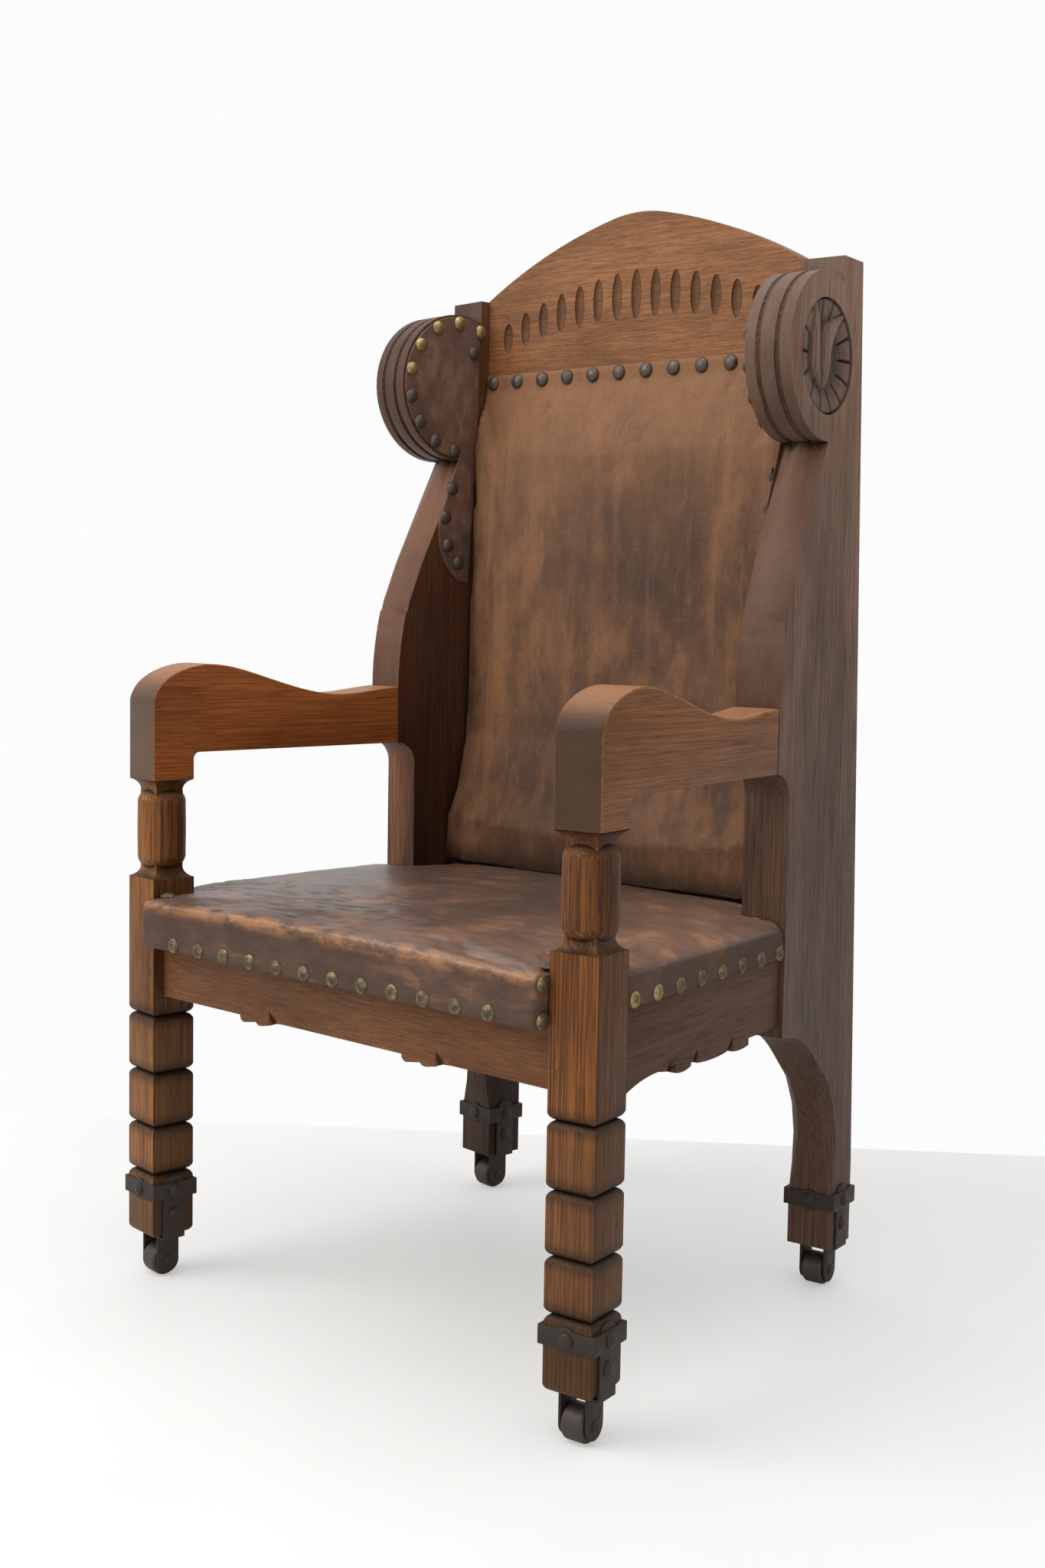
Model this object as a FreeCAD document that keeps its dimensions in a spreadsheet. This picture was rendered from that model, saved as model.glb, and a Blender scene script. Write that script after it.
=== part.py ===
# Throne chair with scrolled wing boards, cushion-cut front posts, leather seat and back, and iron casters.
# Millimetres, +Z up, the sitter faces -Y, origin on the floor under the middle of the chair.
import FreeCAD, Part
import math
import os

doc = FreeCAD.newDocument("throne_chair")
sheet = doc.addObject("Spreadsheet::Sheet", "sizes")

# Driving dimensions. A side frame is laid out in its own plane: a reach is measured back from the
# front face of the front post, and a height from the floor.
driving = {
    # Side frames
    "leg_size": 56, "splay_angle": 6.6, "half_span": 338, "foot_height": 53,
    "joint_gap": 0.2, "soft_gap": 0.3, "overrun": 5,
    # Front posts
    "foot_block": 78.7, "lower_cube": 58.4, "middle_cube": 66.1, "upper_cube": 69.7, "rail_block": 167,
    "notch_depth": 6.6, "notch_round": 11, "neck_width": 36.5, "cove_height": 15, "bulb_radius": 29,
    "bulb_end_radius": 17, "bulb_round": 19, "turning_height": 118.5,
    "post_tenon_radius": 14, "post_tenon_length": 24,
    # Arms
    "hand_drop": 32.5, "hand_rise": 106, "arm_end_rise": 74, "hand_corner": 8,
    "arm_tenon_length": 22, "arm_tenon_width": 22, "arm_tenon_height": 44,
    # Wing boards
    "board_nose": 368.5, "board_front": 397.5, "board_rear": 596, "wing_depth": 50.5, "wing_setback": 37.5,
    "wing_top": 1235, "scroll_stand": 44.6, "scroll_drop": 119, "scroll_radius": 96,
    "scroll_notch": 4, "arch_top": 340, "arch_end": 150, "groove_radius": 3.2,
    "rosette_radius": 66, "rosette_depth": 11, "chamfer_start": 790, "chamfer_width": 25, "chamfer_depth": 11,
    "leg_chamfer": 14, "leg_chamfer_low": 116, "leg_chamfer_high": 300,
    # Back
    "back_plane": 510.6, "crest_thickness": 28, "crest_bottom": 1098, "crest_shoulder": 1236,
    "crest_peak": 1324, "panel_thickness": 14, "back_rail_bottom": 446, "back_rail_height": 64,
    "rail_tenon_length": 20, "rail_tenon_thickness": 12, "tenon_shoulder": 12,
    # Seat frame
    "front_rail_bottom": 351, "rail_top": 436, "front_rail_setback": 11, "front_rail_thickness": 30,
    "drop_depth": 7.5, "drop_width": 74, "drop_reach": 131,
    "chip_height": 20, "chip_depth": 18, "eye_size": 9,
    "side_rail_bottom": 345, "side_rail_setback": 5, "side_rail_thickness": 28, "scallop_rise": 11,
    "rear_rail_reach": 455, "rear_rail_thickness": 28, "rear_rail_bottom": 366,
    "corner_block_reach": 45, "corner_block_height": 36,
    "web_width": 52, "web_thickness": 1.5, "web_count_across": 4, "web_count_along": 5,
    # Upholstery
    "leather_proud": 23, "seat_front_bottom": 416, "seat_side_bottom": 432, "seat_edge_top": 472,
    "seat_crown": 15, "seat_rear": 470, "seat_edge_round": 7, "seat_side_round": 18,
    "back_pad_top": 1137, "back_pad_bottom": 485.5, "back_pad_crown": 9, "back_pad_bulge": 69,
    "patch_thickness": 2.5,
    "nail_radius": 8.8, "nail_height": 3, "front_nail_pitch": 45, "front_nail_count": 12,
    "side_nail_pitch": 45, "side_nail_count": 8, "nail_rise": 9, "corner_nail_rise": 36,
    "back_nail_count": 12, "back_nail_height": 1125,
    "peg_width": 9, "peg_length": 40, "peg_stand": 0.3, "peg_rise": 30, "peg_inset": 10.4,
    # Casters
    "wheel_radius": 19, "wheel_width": 26, "wheel_round": 4, "axle_radius": 4, "axle_fit": 0.05,
    "axle_head_radius": 7, "axle_head": 2.5, "ear_gap": 1.2, "strap_thickness": 3, "strap_width": 30,
    "strap_rise": 8, "band_bottom": 101, "band_height": 20, "band_thickness": 2.5, "eye_radius": 13,
    "rivet_radius": 8, "rivet_height": 3, "rivet_drop": 30,
}
for row, (alias, number) in enumerate(driving.items(), start=1):
    sheet.set(f"A{row}", alias)
    sheet.set(f"B{row}", str(number))
    sheet.setAlias(f"B{row}", alias)
doc.recompute()

V = FreeCAD.Vector
sides = {"right": 1, "left": -1}


def size(alias):
    return float(getattr(sheet, alias))


splay = math.radians(size("splay_angle"))
half_leg = size("leg_size") / 2
foot_notch = size("foot_height") + size("foot_block")
block_bottom = foot_notch + size("lower_cube") + size("middle_cube") + size("upper_cube")
block_top = block_bottom + size("rail_block")
hand_bottom = block_top + size("turning_height")
arm_underside = hand_bottom + size("hand_drop")
arm_end_top = arm_underside + size("arm_end_rise")
scroll_reach = size("back_plane") - size("scroll_stand")
scroll_height = size("wing_top") - size("scroll_drop")
pad_underside = size("rail_top") + 2 * size("web_thickness") + size("soft_gap")
rivet_stand = size("band_thickness") + size("rivet_height")
rear_extent = (size("board_rear") + rivet_stand) * math.cos(splay)
rear_extent += size("rivet_radius") / 2 * math.sin(splay)
front_extent = size("leather_proud") + size("nail_height")
front_y = (front_extent - rear_extent) / 2


# Turns a place in a side frame, given as reach back and offset outward, into the chair's own frame.
def side_point(side, reach, outward, height=0):
    x = size("half_span") + outward * math.cos(splay) - reach * math.sin(splay)
    y = front_y + outward * math.sin(splay) + reach * math.cos(splay)
    return V(side * x, y, height)


# X, at a given Y, of a face of the right-hand frame that lies a given way outward, and of its inner face.
def face_x(y, outward):
    start = side_point(1, 0, outward)
    return start.x - (y - start.y) * math.tan(splay)


def inner_x(y, gap=0):
    return face_x(y, -half_leg - gap)


def side_placement(side, reach=0, height=0):
    turn = FreeCAD.Rotation(V(0, 0, 1), side * size("splay_angle"))
    return FreeCAD.Placement(side_point(side, reach, 0, height), turn)


def new_body(label):
    body = doc.addObject("PartDesign::Body", label)
    body.Label = label
    return body


# Draws a closed outline on one of the body's own planes, moved along the plane's normal.
def draw(body, role, curves, offset=0):
    sketch = body.newObject("Sketcher::SketchObject", f"{body.Name}_outline")
    plane = next(item for item in body.Origin.OriginFeatures if item.Role == role)
    sketch.AttachmentSupport = [(plane, "")]
    sketch.MapMode = "FlatFace"
    sketch.AttachmentOffset = FreeCAD.Placement(V(0, 0, offset), FreeCAD.Rotation())
    for curve in curves:
        sketch.addGeometry(curve, False)
    return sketch


def lines(points, closed=True):
    ends = points[1:] + points[:1] if closed else points[1:]
    return [Part.LineSegment(V(*start, 0), V(*end, 0)) for start, end in zip(points, ends)]


def line(start, end):
    return Part.LineSegment(V(*start, 0), V(*end, 0))


def arc(start, middle, end):
    return Part.Arc(V(*start, 0), V(*middle, 0), V(*end, 0))


def spline(points):
    curve = Part.BSplineCurve()
    curve.interpolate([V(*point, 0) for point in points])
    return curve


def ring(centre, radius):
    return Part.Circle(V(*centre, 0), V(0, 0, 1), radius)


def pad(body, sketch, length, both_ways=True):
    feature = body.newObject("PartDesign::Pad", f"{body.Name}_pad")
    feature.Profile = sketch
    feature.Midplane = both_ways
    feature.setExpression("Length", length)
    return feature


def pocket_through(body, sketch):
    feature = body.newObject("PartDesign::Pocket", f"{body.Name}_cut")
    feature.Profile = sketch
    feature.Midplane = True
    feature.Type = "ThroughAll"
    return feature


def box(name, corner, length, width, height, placement=None):
    block = doc.addObject("Part::Box", name)
    block.Length, block.Width, block.Height = length, width, height
    spot = FreeCAD.Placement(corner, FreeCAD.Rotation())
    block.Placement = placement.multiply(spot) if placement else spot
    return block


def cut(label, base, tools):
    result = doc.addObject("Part::Cut", label)
    result.Base = base
    result.Tool = tools[0] if len(tools) == 1 else fuse(f"{label}_tools", tools)
    result.Label = label
    return result


def fuse(label, pieces):
    result = doc.addObject("Part::MultiFuse", label)
    result.Shapes = pieces
    result.Refine = True
    result.Label = label
    return result


def common(label, first, second):
    result = doc.addObject("Part::Common", label)
    result.Base, result.Tool = first, second
    result.Label = label
    return result


def solid(label, shape, placement=None):
    feature = doc.addObject("Part::Feature", label)
    feature.Shape = shape
    feature.Label = label
    if placement:
        feature.Placement = placement
    return feature


# A tenon on its rail and the mortise that takes it, both along one direction of a placement.
def tenon_pair(name, placement, corner, length, width, height):
    gap = size("joint_gap")
    tenon = box(f"{name}_tenon", corner, length, width, height, placement)
    sizes = [measure + 2 * gap for measure in (length, width, height)]
    mortise = box(f"{name}_mortise", corner - V(gap, gap, gap), *sizes, placement)
    return tenon, mortise


# Prism over a flat outline of the chair's own plan.
def prism(points, bottom, top):
    floor = [V(point.x, point.y, bottom) for point in points]
    face = Part.Face(Part.makePolygon(floor + floor[:1]))
    return face.extrude(V(0, 0, top - bottom))


mortises = {}


def add_mortise(owner, tool):
    mortises.setdefault(owner, []).append(tool)


# Front post: a square with cushion cubes cut by rounded notches, and a turned bulb under the arm.
def notch_cut(height, reach, sign):
    rounding, depth = size("notch_round"), size("notch_depth")
    face = sign * reach
    bottom = sign * (reach - depth)
    waist = sign * (reach - depth * (1 - math.sqrt(0.5)))
    lift = rounding * math.sqrt(0.5)
    low, high = height - rounding, height + rounding
    outside = sign * (reach + size("overrun"))
    return [arc((face, low), (waist, height - rounding + lift), (bottom, height)),
            arc((bottom, height), (waist, height + rounding - lift), (face, high)),
            line((face, high), (outside, high)),
            line((outside, high), (outside, low)),
            line((outside, low), (face, low))]


# Cuts the square down to a neck with a cove at each end, on one pair of faces.
def neck_cut(sign):
    face, neck = sign * half_leg, sign * size("neck_width") / 2
    cove = size("cove_height")
    bend = 1 - math.sqrt(0.5)
    waist, lift = neck + (face - neck) * bend, cove * bend
    outside = sign * (half_leg + size("overrun"))
    low, high = block_top + cove, hand_bottom - cove
    return [arc((face, block_top), (waist, block_top + lift), (neck, low)),
            line((neck, low), (neck, high)),
            arc((neck, high), (waist, hand_bottom - lift), (face, hand_bottom)),
            line((face, hand_bottom), (outside, hand_bottom)),
            line((outside, hand_bottom), (outside, block_top)),
            line((outside, block_top), (face, block_top))]


# The turned bulb round the neck: the neck's corners show as tongues at its rounded ends.
bulb_inset_shares = (0.7, 0.8)
bulb_flank_share = 0.985
bulb_shoulder_shares = (0.76, 0.36)


def bulb_outline():
    end, belly, rounding = size("bulb_end_radius"), size("bulb_radius"), size("bulb_round")
    low = block_top + bulb_inset_shares[0] * size("cove_height")
    high = hand_bottom - bulb_inset_shares[1] * size("cove_height")
    flank = belly * bulb_flank_share
    shoulder = end + (flank - end) * bulb_shoulder_shares[0]
    lift = rounding * bulb_shoulder_shares[1]
    return [line((0, low), (end, low)),
            arc((end, low), (shoulder, low + lift), (flank, low + rounding)),
            arc((flank, low + rounding), (belly, (low + high) / 2), (flank, high - rounding)),
            arc((flank, high - rounding), (shoulder, high - lift), (end, high)),
            line((end, high), (0, high)), line((0, high), (0, low))]


def make_bulb(name):
    body = new_body(f"{name}_bulb")
    profile = draw(body, "XZ_Plane", bulb_outline())
    turned = body.newObject("PartDesign::Revolution", f"{name}_turning")
    turned.Profile = profile
    turned.ReferenceAxis = (profile, ["V_Axis"])
    turned.Angle = 360
    return body


def make_front_post(name, side):
    body = new_body(f"{name}_stick")
    plan = [(-half_leg, -half_leg), (half_leg, -half_leg), (half_leg, half_leg), (-half_leg, half_leg)]
    outline = draw(body, "XY_Plane", lines(plan), size("foot_height"))
    pad(body, outline, "sizes.foot_block + sizes.lower_cube + sizes.middle_cube + sizes.upper_cube"
        " + sizes.rail_block + sizes.turning_height", False)
    heights = [size("foot_height"), foot_notch, foot_notch + size("lower_cube"),
               block_bottom - size("upper_cube"), block_bottom]
    for role in ("YZ_Plane", "XZ_Plane"):
        notches = [notch_cut(height, half_leg, sign) for height in heights for sign in (1, -1)]
        curves = [curve for notch in notches for curve in notch]
        pocket_through(body, draw(body, role, curves))
    for role in ("YZ_Plane", "XZ_Plane"):
        pocket_through(body, draw(body, role, [curve for sign in (1, -1) for curve in neck_cut(sign)]))
    bulb = make_bulb(name)
    body.Placement = bulb.Placement = side_placement(side, half_leg)
    tenon = doc.addObject("Part::Cylinder", f"{name}_tenon")
    tenon.setExpression("Radius", "sizes.post_tenon_radius")
    tenon.setExpression("Height", "sizes.post_tenon_length")
    tenon.Placement = side_placement(side, half_leg, hand_bottom)
    socket = doc.addObject("Part::Cylinder", f"{name}_socket")
    socket.setExpression("Radius", "sizes.post_tenon_radius + sizes.joint_gap")
    socket.setExpression("Height", "sizes.post_tenon_length + sizes.joint_gap")
    socket.Placement = side_placement(side, half_leg, hand_bottom)
    return fuse(f"{name}_whole", [body, bulb, tenon]), socket


# Arm: a hand block over the post, a rounded crest above it and a dip before the wing board.
arm_top_shares = [(0.0, 0.60), (0.035, 0.80), (0.10, 0.93), (0.19, 1.0), (0.30, 0.97), (0.41, 0.87),
                  (0.54, 0.74), (0.66, 0.65), (0.76, 0.625), (0.86, 0.65), (1.0, 0.70)]


def make_arm(name, side):
    body = new_body(f"{name}_stick")
    length, rise = size("board_nose"), size("hand_rise")
    hand, corner = size("leg_size"), size("hand_corner")
    top = [(share * length, arm_underside + portion * rise) for share, portion in arm_top_shares]
    bend, throat = corner * (1 - math.sqrt(0.5)), arm_underside - corner
    curves = [line((0, hand_bottom), top[0]), spline(top), line(top[-1], (length, arm_underside)),
              line((length, arm_underside), (hand + corner, arm_underside)),
              arc((hand + corner, arm_underside), (hand + bend, arm_underside - bend), (hand, throat)),
              line((hand, throat), (hand, hand_bottom)), line((hand, hand_bottom), (0, hand_bottom))]
    pad(body, draw(body, "YZ_Plane", curves), "sizes.leg_size")
    place = side_placement(side)
    body.Placement = place
    width, height = size("arm_tenon_width"), size("arm_tenon_height")
    tenon, mortise = tenon_pair(name, place, V(-width / 2, length, arm_underside + size("tenon_shoulder")),
                                width, size("arm_tenon_length"), height)
    return fuse(f"{name}_whole", [body, tenon]), mortise


# Wing board: rear leg, back stile and scrolled wing sawn from one plank. Its front edge sweeps up from
# the arm in an arc that touches a straight line to the notch under the scroll.
sweep_share = 0.775
wing_front = scroll_reach + size("wing_setback")


def wing_sweep():
    nose, back_in = size("board_nose"), size("scroll_notch")
    below = math.sqrt(size("scroll_radius") ** 2 - back_in ** 2)
    notch = (scroll_reach - back_in, scroll_height - below)
    across, rise = notch[0] - nose, notch[1] - arm_end_top
    sweep = sweep_share * (across ** 2 + rise ** 2) / (2 * across)
    hub = (nose + sweep, arm_end_top)
    turn = math.atan2(rise, notch[0] - hub[0]) + math.acos(sweep / math.dist(notch, hub))
    touch, middle = [(hub[0] + sweep * math.cos(angle), hub[1] + sweep * math.sin(angle))
                     for angle in (turn, (turn + math.pi) / 2)]
    return notch, touch, middle, hub, sweep


# Reach of the wing's front edge, and of the rear leg's arched front edge, at a height.
def wing_edge(height):
    notch, touch, _, hub, sweep = wing_sweep()
    if height > touch[1]:
        return touch[0] + (notch[0] - touch[0]) * (height - touch[1]) / (notch[1] - touch[1])
    return hub[0] - math.sqrt(sweep ** 2 - (height - hub[1]) ** 2)


def leg_edge(height):
    front, leg_front = size("board_front"), size("board_rear") - size("leg_size")
    share = max(0, height - size("arch_end")) / (size("arch_top") - size("arch_end"))
    return front + (leg_front - front) * math.sqrt(1 - share ** 2)


arch_shares = (0, 0.25, 0.5, 0.75, 1)


def board_outline():
    nose, front, rear = size("board_nose"), size("board_front"), size("board_rear")
    centre, level, radius = scroll_reach, scroll_height, size("scroll_radius")
    wing_foot = (wing_front, level + math.sqrt(radius ** 2 - size("wing_setback") ** 2))
    notch, touch, mid_sweep, _, _ = wing_sweep()
    cove = front - nose
    bend = cove * (1 - math.sqrt(0.5))
    leg_front, foot, end = rear - size("leg_size"), size("foot_height"), size("arch_end")
    wide, tall = leg_front - front, size("arch_top") - end
    arch = [(front + wide * math.sin(turn), end + tall * math.cos(turn))
            for turn in [math.pi / 2 * share for share in arch_shares]]
    top_rear = (wing_front + size("wing_depth"), size("wing_top"))
    top_front = (wing_front, size("wing_top"))
    return [line((rear, foot), (rear, end)), line((rear, end), top_rear), line(top_rear, top_front),
            line(top_front, wing_foot), arc(wing_foot, (centre - radius, level), notch),
            line(notch, touch), arc(touch, mid_sweep, (nose, arm_end_top)),
            line((nose, arm_end_top), (nose, arm_underside)),
            arc((nose, arm_underside), (front - bend, arm_underside - bend), (front, arm_underside - cove)),
            line((front, arm_underside - cove), arch[0]), spline(arch),
            line(arch[-1], (leg_front, foot)), line((leg_front, foot), (rear, foot))]


# Chamfers on the board's front edges: a long one that widens up to the scroll, and a lens on the rear leg.
# Each entry is a share of the chamfer's run and of its width.
chamfer_shares = [(0.0, 0.02), (0.18, 0.16), (0.4, 0.38), (0.6, 0.58), (0.8, 0.79), (1.0, 1.0)]
lens_shares = [(0.0, 0.02), (0.2, 0.5), (0.4, 0.86), (0.6, 1.0), (0.8, 0.8), (1.0, 0.02)]
chamfer_over_share = 0.4


def chamfer_tool(name, place, sign, edge, run, shares, width, depth):
    over, sections = chamfer_over_share, []
    for along, portion in shares:
        height = run[0] + along * (run[1] - run[0])
        wide, deep, reach = width * portion, depth * portion, edge(height)
        inner, outer = sign * (half_leg - wide * (1 + over)), sign * (half_leg + wide * over)
        near, far = reach - deep * over, reach + deep * (1 + over)
        corners = [V(inner, near, height), V(outer, far, height), V(outer, near, height)]
        sections.append(Part.makePolygon(corners + corners[:1]))
    return solid(name, Part.makeLoft(sections, True, True), place)


def board_chamfers(name, place):
    wing_run = (size("chamfer_start"), scroll_height - size("scroll_radius"))
    leg_run = (size("leg_chamfer_low"), size("leg_chamfer_high"))
    tools = []
    for sign, face in ((1, "right"), (-1, "left")):
        tools.append(chamfer_tool(f"{name}_{face}_chamfer", place, sign, wing_edge, wing_run, chamfer_shares,
                                  size("chamfer_width"), size("chamfer_depth")))
        tools.append(chamfer_tool(f"{name}_{face}_lens", place, sign, leg_edge, leg_run, lens_shares,
                                  size("leg_chamfer"), size("leg_chamfer")))
    return tools


# Sunk round field for the rosette on the outer face of the scroll.
def rosette_field(name, side, place):
    field = doc.addObject("Part::Cylinder", f"{name}_field")
    field.setExpression("Radius", "sizes.rosette_radius")
    field.setExpression("Height", "sizes.rosette_depth + sizes.overrun")
    spot = V(side * (half_leg - size("rosette_depth")), scroll_reach, scroll_height)
    field.Placement = place.multiply(FreeCAD.Placement(spot, FreeCAD.Rotation(V(0, 0, 1), V(side, 0, 0))))
    return field


# Two grooves follow the rim of the scroll from the wing top round to the notch below.
groove_shares = (0.28, 0.70)


def scroll_groove(name, place, share):
    centre, level, radius = scroll_reach, scroll_height, size("scroll_radius")
    start = math.acos(size("wing_setback") / radius)
    tool = doc.addObject("Part::Torus", f"{name}_groove")
    tool.setExpression("Radius1", "sizes.scroll_radius")
    tool.setExpression("Radius2", "sizes.groove_radius")
    tool.Angle3 = 270 - math.degrees(start)
    along = V(0, math.cos(start), math.sin(start))
    turn = FreeCAD.Rotation(along, V(1, 0, 0).cross(along), V(1, 0, 0), "ZXY")
    spot = V((share - 0.5) * size("leg_size"), centre, level)
    tool.Placement = place.multiply(FreeCAD.Placement(spot, turn))
    return tool


def make_board(name, side):
    body = new_body(f"{name}_plank")
    pad(body, draw(body, "YZ_Plane", board_outline()), "sizes.leg_size")
    place = side_placement(side)
    body.Placement = place
    tools = [scroll_groove(f"{name}_{index}", place, share) for index, share in enumerate(groove_shares)]
    return body, tools + board_chamfers(name, place) + [rosette_field(name, side, place)]


# Cross rails run between the two splayed frames, so their ends follow the inner faces.
def plan_points(near, far, gap=0):
    front, rear = inner_x(near, gap), inner_x(far, gap)
    return [V(-front, near), V(front, near), V(rear, far), V(-rear, far)]


def plan_block(label, near, far, bottom, length):
    body = new_body(label)
    points = [(point.x, point.y) for point in plan_points(near, far)]
    pad(body, draw(body, "XY_Plane", lines(points), bottom), length, False)
    return body


def end_tenons(label, near, far, bottom, height):
    thick, reach = size("rail_tenon_thickness"), size("rail_tenon_length")
    middle = (near + far - thick) / 2
    tenons = []
    for side_name, side in sides.items():
        inside = inner_x(far) - size("tenon_shoulder")
        length = inner_x(near) + reach - inside
        start = inside if side > 0 else -inside - length
        corner = V(start, middle, bottom)
        tenon, mortise = tenon_pair(f"{label}_{side_name}", None, corner, length, thick, height)
        tenons.append(tenon)
        add_mortise(side_name, mortise)
    return tenons


back_y = front_y + size("back_plane")
crest_arch_shares = [(1.0, 0.0), (0.59, 0.575), (0.176, 0.94)]


def make_crest():
    near, far = back_y, back_y + size("crest_thickness")
    bottom, shoulder, peak = size("crest_bottom"), size("crest_shoulder"), size("crest_peak")
    plan = plan_block("crest_plan", near, far, bottom, "sizes.crest_peak - sizes.crest_bottom")
    half = inner_x(near)
    right = [(half * share, shoulder + (peak - shoulder) * lift) for share, lift in crest_arch_shares]
    left = [(-x, z) for x, z in right]
    body = new_body("crest_profile")
    curves = [line((-half, bottom), (half, bottom)), line((half, bottom), right[0]), arc(*right),
              arc(right[2], (0, peak), left[2]), arc(left[2], left[1], left[0]),
              line(left[0], (-half, bottom))]
    profile = draw(body, "XZ_Plane", curves, -near)
    rail = pad(body, profile, "sizes.crest_thickness", False)
    rail.Reversed = True
    arch = common("crest_arch", body, plan)
    shoulder_cut = size("tenon_shoulder")
    tenons = end_tenons("crest", near, far, bottom + shoulder_cut, shoulder - bottom - 2 * shoulder_cut)
    return fuse("crest_rail", [arch] + tenons)


def make_back_rail():
    near, far = back_y, back_y + size("crest_thickness")
    bottom, height = size("back_rail_bottom"), size("back_rail_height")
    block = plan_block("back_rail_block", near, far, bottom, "sizes.back_rail_height")
    shoulder = size("tenon_shoulder")
    tenons = end_tenons("back_rail", near, far, bottom + shoulder, height - 2 * shoulder)
    return fuse("lower_back_rail", [block] + tenons)


def make_back_panel():
    start = size("back_rail_bottom") + size("back_rail_height")
    return plan_block("back_panel", back_y, back_y + size("panel_thickness"), start,
                      "sizes.crest_bottom - sizes.back_rail_bottom - sizes.back_rail_height")


def make_rear_rail():
    near = front_y + size("rear_rail_reach")
    far = near + size("rear_rail_thickness")
    bottom, height = size("rear_rail_bottom"), size("rail_top") - size("rear_rail_bottom")
    block = plan_block("rear_rail_block", near, far, bottom, "sizes.rail_top - sizes.rear_rail_bottom")
    shoulder = size("tenon_shoulder")
    tenons = end_tenons("rear_rail", near, far, bottom + shoulder, height - 2 * shoulder)
    return fuse("rear_seat_rail", [block] + tenons)


# A carver's chip in a face: an upright wall, and a facet that runs out from the wall's foot to the face.
# The face lies across the given inward direction.
chip_spread_share = 1.3


def chip(foot, top, tip, inward):
    deep = foot + inward
    spread = [deep + (spot - deep) * chip_spread_share for spot in (foot, top, tip)]
    corners = [deep] + spread
    sets = [(0, 1, 2), (0, 2, 3), (0, 3, 1), (1, 2, 3)]
    faces = [Part.Face(Part.makePolygon([corners[spot] for spot in (*trio, trio[0])])) for trio in sets]
    shape = Part.Solid(Part.Shell(faces))
    if shape.Volume < 0:
        shape.reverse()
    return shape


# Front rail with two small carved drops under its lower edge: two lobes each, and a chip beside them.
# Each entry is a share of the drop's width and of its depth.
drop_shares = [(0.0, 0.0), (0.025, 0.7), (0.10, 1.0), (0.37, 0.58), (0.41, 0.88), (0.50, 1.0),
               (0.69, 0.62), (1.0, 0.0)]


def drop_points(middle):
    left, width, depth = middle - size("drop_width") / 2, size("drop_width"), size("drop_depth")
    return [(left + width * across, size("front_rail_bottom") - depth * down) for across, down in drop_shares]


def drop_curves(middle):
    spots = drop_points(middle)
    return [arc(*spots[0:3]), line(spots[2], spots[3]), arc(*spots[3:6]), line(spots[5], spots[6]),
            line(spots[6], spots[7])]


def drop_chip(middle, near):
    spots = drop_points(middle)
    across, edge = spots[6][0], size("front_rail_bottom")
    foot = V(across, near, edge - 2 * size("drop_depth"))
    top = V(across, near, edge + size("chip_height") - size("drop_depth"))
    return chip(foot, top, V(spots[7][0], near, edge), V(0, size("chip_depth"), 0))


def make_front_rail():
    near = front_y + size("front_rail_setback")
    far = near + size("front_rail_thickness")
    low = size("front_rail_bottom") - size("drop_depth")
    plan = plan_block("front_rail_plan", near, far, low,
                      "sizes.rail_top - sizes.front_rail_bottom + sizes.drop_depth")
    half, edge, top = inner_x(near), size("front_rail_bottom"), size("rail_top")
    reach, width = size("drop_reach"), size("drop_width") / 2
    curves = [line((-half, edge), (-reach - width, edge)), *drop_curves(-reach),
              line((width - reach, edge), (reach - width, edge)), *drop_curves(reach),
              line((reach + width, edge), (half, edge)), line((half, edge), (half, top)),
              line((half, top), (-half, top)), line((-half, top), (-half, edge))]
    body = new_body("front_rail_profile")
    rail = pad(body, draw(body, "XZ_Plane", curves, -near), "sizes.front_rail_thickness", False)
    rail.Reversed = True
    shaped = common("front_rail_shaped", body, plan)
    chips = [solid("drop_chip", drop_chip(middle, near)) for middle in (-reach, reach)]
    carved = cut("front_rail_carved", shaped, chips)
    shoulder = size("tenon_shoulder")
    tenons = end_tenons("front_rail", near, far, edge + shoulder, top - edge - 2 * shoulder)
    return fuse("front_rail_whole", [carved] + tenons)


# Side rail with a scalloped lower edge: a long hollow and three lobes that end in a step to the rear.
# Each entry is a share of the rail's length and of the scallop's rise.
scallop_shares = [(0.02, 0.1), (0.11, 0.78), (0.21, 1.0), (0.31, 0.25), (0.36, 0.1), (0.42, 0.5),
                  (0.53, 0.2), (0.64, 0.35), (0.72, 0.0), (0.785, 0.15), (0.785, 0.85)]
# Each chip gives its wall as a share of the rail's length, its run likewise, and its height as a share.
side_chip_shares = [(0.31, 0.12, 1.0), (0.445, 0.04, 1.0), (0.675, 0.04, 0.9)]


def rail_chips(side, face):
    start, length = size("leg_size"), size("board_front") - size("leg_size")
    bottom, rise = size("side_rail_bottom"), size("scallop_rise")
    chips = []
    for wall, run, lift in side_chip_shares:
        reach = start + wall * length
        foot = V(side * face, reach, bottom - rise)
        top = V(side * face, reach, bottom + lift * size("chip_height"))
        tip = V(side * face, reach - run * length, bottom + rise / 2)
        chips.append(chip(foot, top, tip, V(-side * size("chip_depth"), 0, 0)))
    return chips


# The bead at the head of the first chip.
def rail_eye(side, face):
    radius = size("eye_size") / 2
    reach = size("leg_size") + side_chip_shares[0][0] * (size("board_front") - size("leg_size"))
    height = size("side_rail_bottom") + size("chip_height") - radius
    return Part.makeSphere(radius, V(side * (face - radius / 2), reach - radius, height))


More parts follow.
